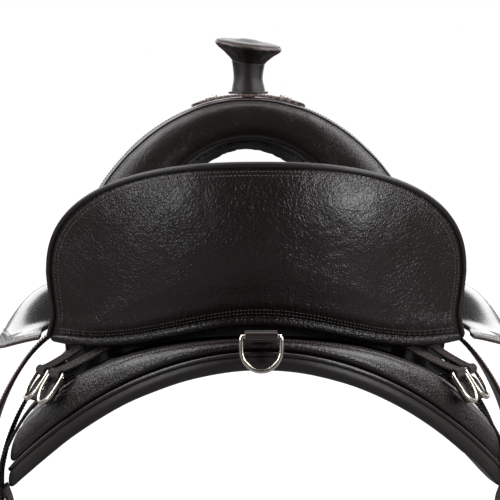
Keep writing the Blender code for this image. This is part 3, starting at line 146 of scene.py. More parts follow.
# Pommel arch and horn
ARCH_INNER_HALF = 0.132
ARCH_INNER_TOP = 0.197
ARCH_OUTER_HALF = 0.205
ARCH_OUTER_TOP = 0.243
ROLL_REAR_Y = 0.1345
ROLL_DEPTH = 0.054
ROLL_POWER = 2.6
ARCH_FRONT_Y = 0.262
ARCH_PLATE_LOW = 0.38
ARCH_PLATE_HIGH = 0.62
ARCH_PLATE_INSET = 0.007
LINING_DROP = 0.30
ARCH_GAP = 0.016
LEG_FLARE = 0.24
COVER_ROUND = 0.010
LAYERS_Y = ROLL_REAR_Y + ROLL_DEPTH + GAP
HORN_Y = 0.225
HORN_NECK_RADIUS = 0.0188
HORN_NECK_WAIST = 0.0166
HORN_NECK_TOP_Z = 0.282
HORN_CAP_RADIUS = 0.0370
HORN_LIP_Z = 0.299
HORN_CAP_CROWN = 0.008
HORN_CAP_ROUND = 0.0030
HORN_FOOT_FLARE = 0.0012
HORN_LEAN_X = 7.0
HORN_LEAN_Y = 6.0
COLLAR_THICKNESS = 0.003
COLLAR_HALF_WIDTH = 0.063
COLLAR_DEPTH = 0.060
COLLAR_TOP = ARCH_OUTER_TOP + GAP + COLLAR_THICKNESS
ROSETTE_X = 0.041
ROSETTE_SETBACK = 0.012
ROSETTE_RADIUS = 0.0062
ROSETTE_HEIGHT = 0.0035

# Seat jockeys
JOCKEY_REAR_Y = -0.135
JOCKEY_FRONT_Y = 0.118
JOCKEY_THICKNESS = 0.004
JOCKEY_REAR_Z = 0.0165
JOCKEY_RISE = 0.061
JOCKEY_TAB = 0.028
JOCKEY_UNDER_SEAT = 0.0045
JOCKEY_REAR_REACH = 0.252
JOCKEY_MID_REACH = 0.254
JOCKEY_FRONT_REACH = 0.222
JOCKEY_REAR_DROP = 0.011
JOCKEY_MID_DROP = 0.0635
JOCKEY_FRONT_DROP = 0.0500
JOCKEY_CURL = 2.2
JOCKEY_CORNER = 0.040
JOCKEY_END_WIDTH = 0.030
JOCKEY_TURN = 0.007
JOCKEY_REAR_CURL = 1.2
JOCKEY_SLOPE_LIMIT = 2.2

# Fenders, stirrups and rings
RING_Y = 0.030
RING_X = 0.153
RING_Z = 0.015
RING_RADIUS = 0.019
RING_WIRE = 0.0026
STIRRUP_X = 0.269
BOLT_Z = -0.455
BOLT_RADIUS = 0.005
STIRRUP_TOP_HALF = 0.037
STIRRUP_BASE_HALF = 0.066
STIRRUP_HEIGHT = 0.135
STIRRUP_WALL = 0.008
STIRRUP_EAR = 0.011
STIRRUP_CORNER = 0.015
STIRRUP_TOP_DEPTH = 0.026
STIRRUP_BASE_DEPTH = 0.052
TREAD_THICKNESS = 0.006
TREAD_MARGIN = 0.002
BOLT_HEAD = 0.0035
DEE_WIRE = 0.0021
SIDE_DEE_TURN = (58.0, 64.0)
SIDE_DEE_LEAN = 35.0

# Thread
STITCH_PITCH = 0.0034
CLOSE_PITCH = 0.0030
CROSS_PITCH = 0.0026
STITCH_LENGTH = 0.0026
STITCH_RADIUS = 0.00042
STITCH_SIDES = 6

# Straps
STRAP_STEPS = 12
STRAP_SQUARE = 0.6

# Directions
X_AXIS = (1.0, 0.0, 0.0)
Y_AXIS = (0.0, 1.0, 0.0)
Z_AXIS = (0.0, 0.0, 1.0)
SIDES = ((-1.0, "left"), (1.0, "right"))


def smooth(share):
    share = np.clip(share, 0.0, 1.0)
    return share * share * (3.0 - 2.0 * share)


def mix(first, second, share):
    return first + (second - first) * share


def roll_off(distance, radius):
    """Height share of a round edge at a distance from it."""
    left = 1.0 - np.clip(distance / radius, 0.0, 1.0)
    return np.sqrt(np.maximum(1.0 - left * left, 0.0))


def hump(value, middle, width):
    return np.exp(-(((value - middle) / width) ** 2))


def signed_power(value, power):
    return np.sign(value) * np.abs(value) ** power


def round_square(first, second, power):
    """Reach of a square with rounded corners, measured along each of two values."""
    return (np.abs(first) ** power + np.abs(second) ** power) ** (1.0 / power)


def full_turn(count):
    return np.linspace(0.0, 2.0 * np.pi, count, endpoint=False)


def unit(vectors):
    return vectors / np.maximum(np.linalg.norm(vectors, axis=-1, keepdims=True), 1e-12)


def lumps(points, scale, seed):
    """Soft noise between about -1 and 1 at each point."""
    shift = Vector((seed * 7.3, seed * 3.1, seed * 5.7))
    flat = np.asarray(points).reshape(-1, 3)
    found = np.array([noise.noise(Vector(p) * scale + shift) for p in flat])
    return found.reshape(np.asarray(points).shape[:-1])


# Lines

def distances_along(line):
    """Distance of each point of an open line from its start."""
    steps = np.linalg.norm(np.diff(line[:, :3], axis=0), axis=1)
    return np.concatenate([[0.0], np.cumsum(steps)])


def evenly(points, count, closed=True):
    """Points at even steps along a line."""
    line = np.concatenate([points, points[:1]]) if closed else np.asarray(points)
    along = distances_along(line)
    wanted = np.linspace(0.0, along[-1], count, endpoint=not closed)
    return np.stack([np.interp(wanted, along, line[:, k]) for k in range(line.shape[1])], axis=1)


def line_length(points, closed=False):
    line = np.concatenate([points, points[:1]]) if closed else points
    return float(np.linalg.norm(np.diff(line[:, :3], axis=0), axis=1).sum())


def finer(points, step, closed=False):
    """Smooth line through the given rows, at about even steps."""
    points = np.asarray(points, dtype=float)
    if closed:
        ends = np.concatenate([points[-1:], points, points[:2]])
    else:
        ends = np.concatenate([2 * points[:1] - points[1:2], points, 2 * points[-1:] - points[-2:-1]])
    t = np.linspace(0.0, 1.0, 8, endpoint=False)[None, :, None]
    a, b, c, d = (ends[k : len(ends) - 3 + k, None, :] for k in range(4))
    curve = 2 * b + (c - a) * t + (2 * a - 5 * b + 4 * c - d) * t ** 2
    curve = 0.5 * (curve + (3 * b - a - 3 * c + d) * t ** 3)
    curve = curve.reshape(-1, points.shape[1])
    if not closed:
        curve = np.concatenate([curve, points[-1:]])
    return evenly(curve, max(int(line_length(curve, closed) / step), 4), closed)


def tangents(line, closed=False):
    if closed:
        return unit(np.roll(line, -1, axis=0) - np.roll(line, 1, axis=0))
    return unit(np.concatenate([line[1:], line[-1:]]) - np.concatenate([line[:1], line[:-1]]))


# Meshes, as parts of (points, faces)

def loft(rings, closed=False):
    """Body through rings of points; open ends are closed to a middle point."""
    count, size = rings.shape[:2]
    r, c = np.meshgrid(np.arange(count if closed else count - 1), np.arange(size), indexing="ij")
    ahead = (r + 1) % count
    side = (c + 1) % size
    quads = np.stack([r * size + c, r * size + side, ahead * size + side, ahead * size + c], axis=-1)
    faces = quads.reshape(-1, 4).tolist()
    points = rings.reshape(-1, 3)
    if not closed:
        points = np.concatenate([points, rings[:1].mean(axis=1), rings[-1:].mean(axis=1)])
        last = (count - 1) * size
        for k in range(size):
            n = (k + 1) % size
            faces.append([n, k, count * size])
            faces.append([last + k, last + n, count * size + 1])
    return points, faces


def swept(line, radius, sides=12, closed=False, facing=Y_AXIS, flat=1.0, tapered=True):
    """Round bead along a line, with tapered ends."""
    line = np.asarray(line, dtype=float)
    along = tangents(line, closed)
    first = unit(np.cross(along, np.broadcast_to(np.asarray(facing, dtype=float), along.shape)))
    second = np.cross(along, first) * flat
    turns = 2.0 * np.pi * np.arange(sides) / sides
    size = np.full(len(line), radius) if np.isscalar(radius) else np.asarray(radius)
    if tapered and not closed:
        ends = np.array([0.35, 0.75, 0.95])
        size = size.copy()
        size[:3] *= ends
        size[-3:] *= ends[::-1]
    ring = first[:, None] * np.cos(turns)[None, :, None]
    ring = ring + second[:, None] * np.sin(turns)[None, :, None]
    return loft(line[:, None] + ring * size[:, None, None], closed)


def grid_quads(rows, columns):
    r, c = np.meshgrid(np.arange(rows - 1), np.arange(columns - 1), indexing="ij")
    first = r * columns + c
    return np.stack([first, first + 1, first + columns + 1, first + columns], axis=-1).reshape(-1, 4)


def closed_sheet(top, bottom):
    """Closed body between two grids of points of the same size."""
    rows, columns = top.shape[:2]
    count = rows * columns
    quads = grid_quads(rows, columns)
    ring = list(range(columns))
    ring += [k * columns + columns - 1 for k in range(1, rows)]
    ring += [(rows - 1) * columns + k for k in range(columns - 2, -1, -1)]
    ring += [k * columns for k in range(rows - 2, 0, -1)]
    ring = np.array(ring)
    ahead = np.roll(ring, -1)
    wall = np.stack([ahead, ring, ring + count, ahead + count], axis=-1)
    points = np.concatenate([top.reshape(-1, 3), bottom.reshape(-1, 3)])
    return points, np.concatenate([quads, quads[:, ::-1] + count, wall]).tolist()


def mesh_from(name, parts, outward=True):
    points = []
    faces = []
    first = 0
    for part_points, part_faces in parts:
        points.append(np.asarray(part_points))
        faces += [[k + first for k in face] for face in part_faces] if first else list(part_faces)
        first += len(part_points)
    mesh = bpy.data.meshes.new(name)
    mesh.from_pydata(np.concatenate(points).tolist(), [], faces)
    if outward:
        shape = bmesh.new()
        shape.from_mesh(mesh)
        bmesh.ops.recalc_face_normals(shape, faces=shape.faces)
        shape.to_mesh(mesh)
        shape.free()
    mesh.update()
    return mesh


def add_piece(name, mesh, look, body="saddle", stands_for=(), sharp=None, fill=None):
    """A mesh as a piece that rides on a body, with its look as its material."""
    made = bpy.data.objects.new(name, mesh)
    bpy.context.scene.collection.objects.link(made)
    mesh.materials.clear()
    mesh.materials.append(look)
    mesh.shade_smooth()
    if sharp:
        mesh.set_sharp_from_angle(angle=math.radians(sharp))
    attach(made, body)
    if stands_for:
        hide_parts(*stands_for)


def build(name, parts, look, **settings):
    """A piece made from (points, faces) parts, and its mesh."""
    mesh = mesh_from(name, parts)
    add_piece(name, mesh, look, **settings)
    return mesh


def set_uv(mesh, values, name="run"):
    """One UV pair for each vertex, written to its corners."""
    layer = mesh.uv_layers.new(name=name)
    corners = np.empty(len(mesh.loops), dtype=np.int32)
    mesh.loops.foreach_get("vertex_index", corners)
    layer.data.foreach_set("uv", np.asarray(values, dtype=np.float32)[corners].ravel())


def set_value(mesh, name, values):
    layer = mesh.attributes.new(name, "FLOAT", "POINT")
    layer.data.foreach_set("value", np.asarray(values, dtype=np.float32).ravel())


def get_value(mesh, name):
    found = np.empty(len(mesh.vertices), dtype=np.float32)
    mesh.attributes[name].data.foreach_get("value", found)
    return found.astype(float)


def coordinates(mesh):
    flat = np.empty(len(mesh.vertices) * 3)
    mesh.vertices.foreach_get("co", flat)
    return flat.reshape(-1, 3)


def move_to(mesh, points):
    mesh.vertices.foreach_set("co", np.asarray(points, dtype=float).ravel())
    mesh.update()


def normals_of(mesh):
    flat = np.empty(len(mesh.vertices) * 3)
    mesh.vertex_normals.foreach_get("vector", flat)
    return flat.reshape(-1, 3)


def tree_of(mesh):
    faces = [tuple(polygon.vertices) for polygon in mesh.polygons]
    return BVHTree.FromPolygons([vertex.co for vertex in mesh.vertices], faces)


def snapped(points, tree, direction=None, reach=0.03):
    """The nearest places of a surface and its normals there, or those met along a direction."""
    places = []
    normals = []
    for point in np.asarray(points):
        start = Vector(point)
        if direction is None:
            place, normal, _, _ = tree.find_nearest(start)
        else:
            aim = Vector(direction)
            place, normal, _, _ = tree.ray_cast(start - aim * reach, aim)
            if place is None:
                place, normal, _, _ = tree.find_nearest(start)
            elif normal.dot(aim) > 0.0:
                normal = -normal
        places.append(place)
        normals.append(normal)
    return np.array(places), np.array(normals)


def welded(node):
    """A copy of a frame node's mesh with its split corners welded."""
    shape = bmesh.new()
    shape.from_mesh(frame["nodes"][node].data)
    bmesh.ops.remove_doubles(shape, verts=shape.verts, dist=1e-6)
    return shape


def applied(mesh, *steps):
    """The mesh with modifiers applied, each given as a kind and its settings."""
    holder = bpy.data.objects.new("holder", mesh)
    bpy.context.scene.collection.objects.link(holder)
    for kind, settings in steps:
        modifier = holder.modifiers.new(kind, kind)
        for key, value in settings.items():
            setattr(modifier, key, value)
    graph = bpy.context.evaluated_depsgraph_get()
    made = bpy.data.meshes.new_from_object(holder.evaluated_get(graph))
    bpy.data.objects.remove(holder, do_unlink=True)
    return made


def subdivided(mesh, levels=1):
    return applied(mesh, ("SUBSURF", {"levels": levels, "render_levels": levels}))


def blown_up(mesh, cap, pressure=4.0, frames=20, tension=12.0):
    """Swells a closed cover with air pressure in the cloth solver, each point by the cap at most."""
    before = coordinates(mesh)
    holder = bpy.data.objects.new("cover", mesh)
    bpy.context.scene.collection.objects.link(holder)
    cloth = holder.modifiers.new("cloth", "CLOTH")
    settings = cloth.settings
    settings.use_pressure = True
    settings.uniform_pressure_force = pressure
    settings.tension_stiffness = tension
    settings.compression_stiffness = tension
    settings.effector_weights.gravity = 0.0
    cloth.collision_settings.use_collision = False
    scene = bpy.context.scene
    for step in range(1, frames + 1):
        scene.frame_set(step)
    graph = bpy.context.evaluated_depsgraph_get()
    swollen = bpy.data.meshes.new_from_object(holder.evaluated_get(graph))
    after = coordinates(swollen)
    bpy.data.objects.remove(holder, do_unlink=True)
    bpy.data.meshes.remove(swollen)
    scene.frame_set(1)
    moved = after - before
    length = np.linalg.norm(moved, axis=1, keepdims=True)
    move_to(mesh, before + moved * np.minimum(1.0, cap / np.maximum(length, 1e-9)))


# Straps

def ribbon_of(node, across):
    """Centre line with its widths, and the thickness, of a frame ribbon with a known cross direction."""
    across = unit(np.array(across, dtype=float))
    shape = welded(node)
    shape.normal_update()
    facing = Vector(across)
    middle = float(np.mean([v.co.dot(facing) for v in shape.verts]))
    side = {f for f in shape.faces if f.normal.dot(facing) > 0.3}
    links = {}
    for edge in shape.edges:
        if sum(f in side for f in edge.link_faces) == 1:
            for here, there in (edge.verts, reversed(edge.verts)):
                links.setdefault(here, []).append(there)
    start = next(iter(links))
    loop = [start]
    previous, here = None, start
    while True:
        ahead = [v for v in links[here] if v is not previous][0]
        if ahead is start:
            break
        loop.append(ahead)
        previous, here = here, ahead
    line = np.array([v.co for v in loop])
    shape.free()
    count = len(line) // 2
    pairs = []
    for k in range(len(line)):
        turned = np.roll(line, -k, axis=0)
        pairs.append(np.linalg.norm(turned[:count] - turned[:count - 1:-1], axis=1).sum())
    line = np.roll(line, -int(np.argmin(pairs)), axis=0)
    first, second = line[:count], line[:count - 1:-1]
    widths = (first @ across - middle) + (second @ across - middle)
    centre = 0.5 * (first + second)
    centre = centre - across * (centre @ across - middle)[:, None]
    gaps = first - second
    thickness = float(np.median(np.linalg.norm(gaps - across * (gaps @ across)[:, None], axis=1)))
    path = np.concatenate([centre, widths[:, None]], axis=1)
    return (path if centre[0, 2] > centre[-1, 2] else path[::-1]), thickness


def strap_rings(path, across, widths, thickness, closed=False, square=STRAP_SQUARE):
    """Sections of a flat strap with eased edges, and the place of each point along and across it."""
    across = unit(np.array(across, dtype=float))
    normal = unit(np.cross(tangents(path, closed), across))
    half = 0.5 * thickness
    flat = np.linspace(-1.0, 1.0, STRAP_STEPS)
    turns = np.radians(np.linspace(90.0, -90.0, 7)[1:-1])
    edge = half * np.cos(turns) ** square
    rise = half * signed_power(np.sin(turns), square)
    inner = (0.5 * np.asarray(widths) - half)[:, None]
    over = np.concatenate([
        inner * flat,
        inner + edge,
        inner * flat[::-1],
        -inner - edge[::-1],
    ], axis=1)
    up = np.concatenate([np.full(STRAP_STEPS, half), rise, np.full(STRAP_STEPS, -half), rise[::-1]])
    rings = path[:, None] + across * over[:, :, None] + normal[:, None] * up[None, :, None]
    along = np.repeat(distances_along(path)[:, None], over.shape[1], axis=1)
    return rings, np.stack([along, over], axis=-1), normal


def strap_mesh(name, path, across, widths, thickness, square=STRAP_SQUARE):
    rings, places, normal = strap_rings(path, across, widths, thickness, square=square)
    mesh = mesh_from(name, [loft(rings)])
    ends = [[places[0, 0, 0], 0.0], [places[-1, 0, 0], 0.0]]
    set_uv(mesh, np.concatenate([places.reshape(-1, 2), ends]))
    return mesh, normal


# Stitches

STITCHES = {}


def stitch_form():
    """One stitch along X: rings of points, each with its place, radius and height, and two pointed ends."""
    sections = ((-0.42, 0.7, -0.45), (-0.20, 1.0, 0.05), (0.20, 1.0, 0.05), (0.42, 0.7, -0.45))
    points = []
    for x, radius, height in sections:
        for k in range(STITCH_SIDES):
            turn = 2.0 * math.pi * k / STITCH_SIDES
            side = radius * math.cos(turn)
            up = height + radius * math.sin(turn)
            points.append((x * STITCH_LENGTH, STITCH_RADIUS * side, STITCH_RADIUS * up))
    rings = np.array(points).reshape(len(sections), STITCH_SIDES, 3)
    body, faces = loft(rings)
    body[-2] = (-0.5 * STITCH_LENGTH, 0.0, -0.9 * STITCH_RADIUS)
    body[-1] = (0.5 * STITCH_LENGTH, 0.0, -0.9 * STITCH_RADIUS)
    return body, faces


STITCH_POINTS, STITCH_FACES = stitch_form()


def stitch(line, normals, thread, body="saddle", closed=False, pitch=STITCH_PITCH):
    """A row of stitches along a line, lying on the surface with the given normals."""
    count = max(int(line_length(np.asarray(line), closed) / pitch), 2)
    rows = evenly(np.concatenate([line, normals], axis=1), count, closed)
    places, up = rows[:, :3], unit(rows[:, 3:])
    along = tangents(places, closed)
    side = unit(np.cross(up, along))
    up = np.cross(along, side)
    form = STITCH_POINTS[None]
    points = places[:, None] + along[:, None] * form[..., :1]
    points = points + side[:, None] * form[..., 1:2] + up[:, None] * form[..., 2:]
    rows = STITCHES.setdefault((body, thread), [])
    for group in points:
        rows.append((group, STITCH_FACES))


def stitch_on(tree, line, thread, closed=False, pitch=STITCH_PITCH, direction=None):
    """A row of stitches on the saddle along a line that is first laid on a surface."""
    places, normals = snapped(line, tree, direction)
    stitch(places, normals, thread, closed=closed, pitch=pitch)


def all_stitches():
    for (body, thread), parts in sorted(STITCHES.items()):
        mesh = mesh_from("stitches", parts, outward=False)
        add_piece(f"stitches_{thread}_{body}", mesh, THREADS[thread], body)


# Materials

def add(tree, kind, inputs=None, **settings):
    made = tree.nodes.new(kind)
    for key, value in settings.items():
        setattr(made, key, value)
    for key, value in (inputs or {}).items():
        made.inputs[key].default_value = value
    return made


def math_node(tree, operation, *values):
    made = add(tree, "ShaderNodeMath", operation=operation)
    for place, value in enumerate(values):
        if isinstance(value, (int, float)):
            made.inputs[place].default_value = value
        else:
            tree.links.new(value, made.inputs[place])
    return made.outputs[0]


def ramp(tree, source, low, high, colours=((0, 0, 0, 1), (1, 1, 1, 1))):
    made = add(tree, "ShaderNodeValToRGB")
    made.color_ramp.elements[0].position = low
    made.color_ramp.elements[1].position = high
    made.color_ramp.elements[0].color = colours[0]
    made.color_ramp.elements[1].color = colours[1]
    tree.links.new(source, made.inputs[0])
    return made.outputs[0]


class Look:
    """A material that is being built: its tree, its shader and the place on the object in metres."""

    def __init__(self, name, roughness, specular=0.5, **levels):
        self.material = bpy.data.materials.new(name)
        self.material.use_nodes = True
        self.tree = self.material.node_tree
        self.shader = self.tree.nodes["Principled BSDF"]
        self.shader.inputs["Roughness"].default_value = roughness
        self.shader.inputs["Specular IOR Level"].default_value = specular
        self.shader.inputs["Metallic"].default_value = levels.get("metallic", 0.0)
        self.shader.inputs["Coat Weight"].default_value = levels.get("coat", 0.0)
        self.shader.inputs["Coat Roughness"].default_value = levels.get("coat_roughness", 0.2)
        self.shader.inputs["Sheen Weight"].default_value = levels.get("sheen", 0.0)
        self.place = add(self.tree, "ShaderNodeTexCoord").outputs["Object"]

    def math(self, operation, *values):
        return math_node(self.tree, operation, *values)

    def noise(self, scale, detail=3.0, roughness=0.5, distortion=0.0, stretch=None):
        values = {"Scale": scale, "Detail": detail, "Roughness": roughness, "Distortion": distortion}
        made = add(self.tree, "ShaderNodeTexNoise", values)
        source = self.place
        if stretch:
            shaped = add(self.tree, "ShaderNodeMapping", {"Scale": stretch})
            self.tree.links.new(self.place, shaped.inputs["Vector"])
            source = shaped.outputs[0]
        self.tree.links.new(source, made.inputs["Vector"])
        return made.outputs["Fac"]

    def cells(self, scale, feature="F1", smoothness=0.5, warp=None):
        made = add(self.tree, "ShaderNodeTexVoronoi", {"Scale": scale}, feature=feature)
        if feature == "SMOOTH_F1":
            made.inputs["Smoothness"].default_value = smoothness
        source = self.place
        if warp:
            shake = add(self.tree, "ShaderNodeTexNoise", {"Scale": warp[0], "Detail": 2.0})
            self.tree.links.new(self.place, shake.inputs["Vector"])
            moved = add(self.tree, "ShaderNodeVectorMath", operation="MULTIPLY_ADD")
            self.tree.links.new(shake.outputs["Color"], moved.inputs[0])
            moved.inputs[1].default_value = (warp[1],) * 3
            self.tree.links.new(self.place, moved.inputs[2])
            source = moved.outputs[0]
        self.tree.links.new(source, made.inputs["Vector"])
        return made.outputs["Distance"]

    def run(self):
        """Metres along and across a strap or a border."""
        uv = add(self.tree, "ShaderNodeUVMap", uv_map="run").outputs[0]
        split = add(self.tree, "ShaderNodeSeparateXYZ")
        self.tree.links.new(uv, split.inputs[0])
        return split.outputs[0], split.outputs[1]

    def value(self, name):
        return add(self.tree, "ShaderNodeAttribute", attribute_name=name).outputs["Fac"]

    def wave(self, source, length):
        return self.math("SINE", self.math("MULTIPLY", source, 2.0 * math.pi / length))

    def line(self, source, middle, width):
        """A soft line where a source passes a value, as a bell of the given width."""
        off = self.math("DIVIDE", self.math("SUBTRACT", source, middle), width)
        return self.math("EXPONENT", self.math("MULTIPLY", self.math("MULTIPLY", off, off), -1.0))

    def sum(self, *parts):
        """Weighted sum of (weight, output) pairs."""
        total = None
        for weight, output in parts:
            term = self.math("MULTIPLY", output, weight)
            total = term if total is None else self.math("ADD", total, term)
        return total

    def bump(self, height, strength, distance, below=None):
        made = add(self.tree, "ShaderNodeBump", {"Strength": strength, "Distance": distance})
        self.tree.links.new(height, made.inputs["Height"])
        if below:
            self.tree.links.new(below, made.inputs["Normal"])
        return made.outputs[0]

    def normal(self, output):
        self.tree.links.new(output, self.shader.inputs["Normal"])
        if self.shader.inputs["Coat Weight"].default_value > 0.0:
            self.tree.links.new(output, self.shader.inputs["Coat Normal"])

    def colours(self, factor, low, high, first, second):
        shade = ramp(self.tree, factor, low, high, ((*first, 1.0), (*second, 1.0)))
        self.tree.links.new(shade, self.shader.inputs["Base Color"])

    def worn_colours(self, factor, low, high, first, second, worn):
        """The two colours, and a third where the piece's own wear value is high."""
        shade = ramp(self.tree, factor, low, high, ((*first, 1.0), (*second, 1.0)))
        blend = add(self.tree, "ShaderNodeMix", data_type="RGBA")
        self.tree.links.new(self.value("wear"), blend.inputs[0])
        self.tree.links.new(shade, blend.inputs[6])
        blend.inputs[7].default_value = (*worn, 1.0)
        self.tree.links.new(blend.outputs[2], self.shader.inputs["Base Color"])

    def rough(self, factor, low, high):
        level = self.math("MULTIPLY_ADD", factor, high - low, low)
        self.tree.links.new(level, self.shader.inputs["Roughness"])


def grey(level):
    return (level, level, level, 1.0)


WORN_EDGE = (0.066, 0.033, 0.027)
WORN_GRAIN = (0.046, 0.024, 0.020)


def grain_leather(name, pebble, depth, low, high):
    """Pebbled cowhide, near black brown: round cells, sideways wrinkles, fine pores, changing polish."""
    look = Look(name, 0.40)
    pebbles = look.cells(pebble, "SMOOTH_F1", 0.25, warp=(0.45 * pebble, 0.0014))
    creases = look.cells(0.45 * pebble, "DISTANCE_TO_EDGE", warp=(0.25 * pebble, 0.0040))
    folds = ramp(look.tree, creases, 0.0, 0.11)
    wrinkles = look.noise(0.62 * pebble, 2.0, 0.5, 0.6, stretch=(0.45, 1.0, 1.5))
    pores = look.noise(2600.0, 2.0, 0.6)
    wide = look.noise(26.0, 4.0, 0.55)
    strength = look.noise(15.0, 3.0, 0.5)
    height = look.sum((-1.0, pebbles), (0.40, folds), (0.45, wrinkles), (0.10, pores))
    calm = ramp(look.tree, strength, 0.34, 0.60, (grey(0.35), grey(1.0)))
    slow = look.noise(75.0, 3.0, 0.5, 0.4)
    first = look.bump(slow, 0.35, 0.0022)
    look.normal(look.bump(look.math("MULTIPLY", height, calm), 0.9, depth, first))
    tone = look.sum((0.55, wide), (0.45, pebbles))
    look.worn_colours(tone, 0.30, 0.70, (0.0105, 0.0060, 0.0056), (0.0058, 0.0035, 0.0033), WORN_GRAIN)
    look.rough(look.sum((0.55, wide), (0.45, pebbles)), low, high)
    return look.material


def smooth_leather(name, coat, low, high):
    """Saddle leather with fine pores and a slightly wavy surface, polished or dull."""
    look = Look(name, 0.28, coat=coat, coat_roughness=0.16)
    pores = look.cells(900.0, "F1")
    wide = look.noise(34.0, 4.0, 0.5, 0.3)
    fine = look.noise(420.0, 3.0, 0.6)
    first = look.bump(wide, 0.30, 0.0018)
    look.normal(look.bump(look.sum((0.6, pores), (0.8, fine)), 0.35, 0.0005, first))
    tone = look.sum((0.7, wide), (0.3, fine))
    look.worn_colours(tone, 0.32, 0.68, (0.0065, 0.0040, 0.0038), (0.0120, 0.0072, 0.0067), WORN_EDGE)
    look.rough(look.sum((0.6, wide), (0.4, fine)), low, high)
    return look.material


# Stamped border of the jockeys, in metres from their edge
CHEVRON_MIDDLE = 0.0082
CHEVRON_HALF = 0.0038
CHEVRON_LENGTH = 0.0042
CHEVRON_SLANT = 0.9
BEAD_ROWS = (0.0032, 0.0133)
BEAD_WIDTH = 0.0009
BEAD_LENGTH = 0.0022
LINE_ROWS = (0.0048, 0.0116)
LINE_WIDTH = 0.0004
BAND_WIDTH = 0.0150


def tooled_leather():
    """Glossy leather with a stamped border: bead rows on both sides of a band of chevrons."""
    look = Look("tooled_leather", 0.22, coat=1.0, coat_roughness=0.24)
    look.shader.inputs["IOR"].default_value = 2.15
    along, inset = look.run()
    fold = look.math("ABSOLUTE", look.math("SUBTRACT", inset, CHEVRON_MIDDLE))
    slanted = look.math("ADD", along, look.math("MULTIPLY", fold, CHEVRON_SLANT))
    chevrons = look.wave(slanted, CHEVRON_LENGTH)
    stamp = look.math("MULTIPLY", chevrons, look.math("LESS_THAN", fold, CHEVRON_HALF))
    dots = look.math("ADD", look.math("MULTIPLY", look.wave(along, BEAD_LENGTH), 0.5), 0.5)
    rows = [look.math("MULTIPLY", look.line(inset, place, BEAD_WIDTH), dots) for place in BEAD_ROWS]
    beads = look.math("ADD", *rows)
    lines = look.math("ADD", *(look.line(inset, place, LINE_WIDTH) for place in LINE_ROWS))
    height = look.sum((0.45, stamp), (0.9, beads), (-0.8, lines))
    wide = look.noise(26.0, 4.0, 0.5, 0.3)
    pores = look.cells(1000.0, "F1")
    first = look.bump(wide, 0.20, 0.0018)
    second = look.bump(pores, 0.10, 0.0003, first)
    look.normal(look.bump(height, 1.0, 0.0010, second))
    tone = look.sum((0.5, wide), (0.20, stamp), (0.25, beads), (-0.3, lines))
    look.worn_colours(tone, 0.15, 0.60, (0.0060, 0.0040, 0.0038), (0.0130, 0.0082, 0.0074), WORN_EDGE)
    band = ramp(look.tree, inset, BAND_WIDTH, BAND_WIDTH + 0.0010, (grey(1.0), grey(0.0)))
    look.rough(look.sum((0.16, wide), (0.30, band), (-0.12, beads)), 0.16, 1.16)
    polish = look.math("SUBTRACT", 1.0, look.math("MULTIPLY", band, 0.85))
    look.tree.links.new(polish, look.shader.inputs["Coat Weight"])
    return look.material


def webbing():
    """Ribbed brown webbing: ribs across the strap, crossed by the finer warp threads."""
    look = Look("webbing", 0.75, specular=0.25, sheen=0.15)
    along, across = look.run()
    ribs = look.wave(along, 0.0034)
    warp = look.wave(across, 0.0011)
    fuzz = look.noise(1800.0, 3.0, 0.7)
    wide = look.noise(60.0, 3.0)
    look.normal(look.bump(look.sum((0.75, ribs), (0.15, warp), (0.25, fuzz)), 1.0, 0.0010))
    tone = look.sum((0.24, ribs), (0.30, wide), (0.30, fuzz))
    look.colours(tone, 0.0, 0.55, (0.0040, 0.0021, 0.0019), (0.0300, 0.0140, 0.0125))
    look.rough(fuzz, 0.60, 0.84)
    return look.material


def nickel():
    look = Look("nickel", 0.16, metallic=1.0)
    marks = look.noise(900.0, 2.0, 0.6, stretch=(1.0, 1.0, 0.15))
    wide = look.noise(50.0, 3.0, 0.5)
    look.normal(look.bump(look.sum((0.3, marks), (0.7, wide)), 0.10, 0.0004))
    look.colours(wide, 0.35, 0.75, (0.82, 0.77, 0.68), (0.66, 0.61, 0.53))
    look.rough(look.sum((0.5, marks), (0.5, wide)), 0.16, 0.34)
    return look.material


def felt():
    look = Look("felt", 0.95, specular=0.1, sheen=0.25)
    fibres = look.noise(900.0, 4.0, 0.75, 1.5)
    wide = look.noise(40.0, 3.0)
    look.normal(look.bump(fibres, 0.8, 0.0009))
    tone = look.sum((0.6, fibres), (0.4, wide))
    look.colours(tone, 0.30, 0.70, (0.0085, 0.0072, 0.0068), (0.0300, 0.0255, 0.0240))
    return look.material


def fleece():
    look = Look("fleece", 1.0, specular=0.05, sheen=0.40)
    curls = look.noise(240.0, 4.0, 0.75, 2.0)
    tufts = look.cells(170.0, "SMOOTH_F1", 0.6, warp=(120.0, 0.004))
    look.normal(look.bump(look.sum((0.6, curls), (-0.5, tufts)), 0.9, 0.0030))
    tone = look.sum((0.7, curls), (0.3, tufts))
    look.colours(tone, 0.25, 0.70, (0.0075, 0.0042, 0.0038), (0.0280, 0.0170, 0.0150))
    return look.material


def foam():
    look = Look("foam", 0.92, specular=0.15)
    cells = look.cells(700.0, "F1")
    look.normal(look.bump(cells, 0.6, 0.0006))
    tone = look.sum((0.6, cells), (0.4, look.noise(30.0)))
    look.colours(tone, 0.20, 0.80, (0.018, 0.018, 0.019), (0.045, 0.045, 0.048))
    return look.material


def arch_plastic():
    look = Look("arch_plastic", 0.45)
    texture = look.noise(1500.0, 2.0, 0.5)
    look.normal(look.bump(texture, 0.25, 0.0002))
    look.colours(look.noise(30.0), 0.30, 0.70, (0.020, 0.020, 0.022), (0.032, 0.032, 0.034))
    look.rough(texture, 0.38, 0.52)
    return look.material


def thread(name, dark, light):
    look = Look(name, 0.55, specular=0.4, sheen=0.1)
    twist = look.noise(3000.0, 2.0, 0.6)
    look.normal(look.bump(twist, 0.5, 0.0002))
    look.colours(twist, 0.35, 0.65, dark, light)
    return look.material


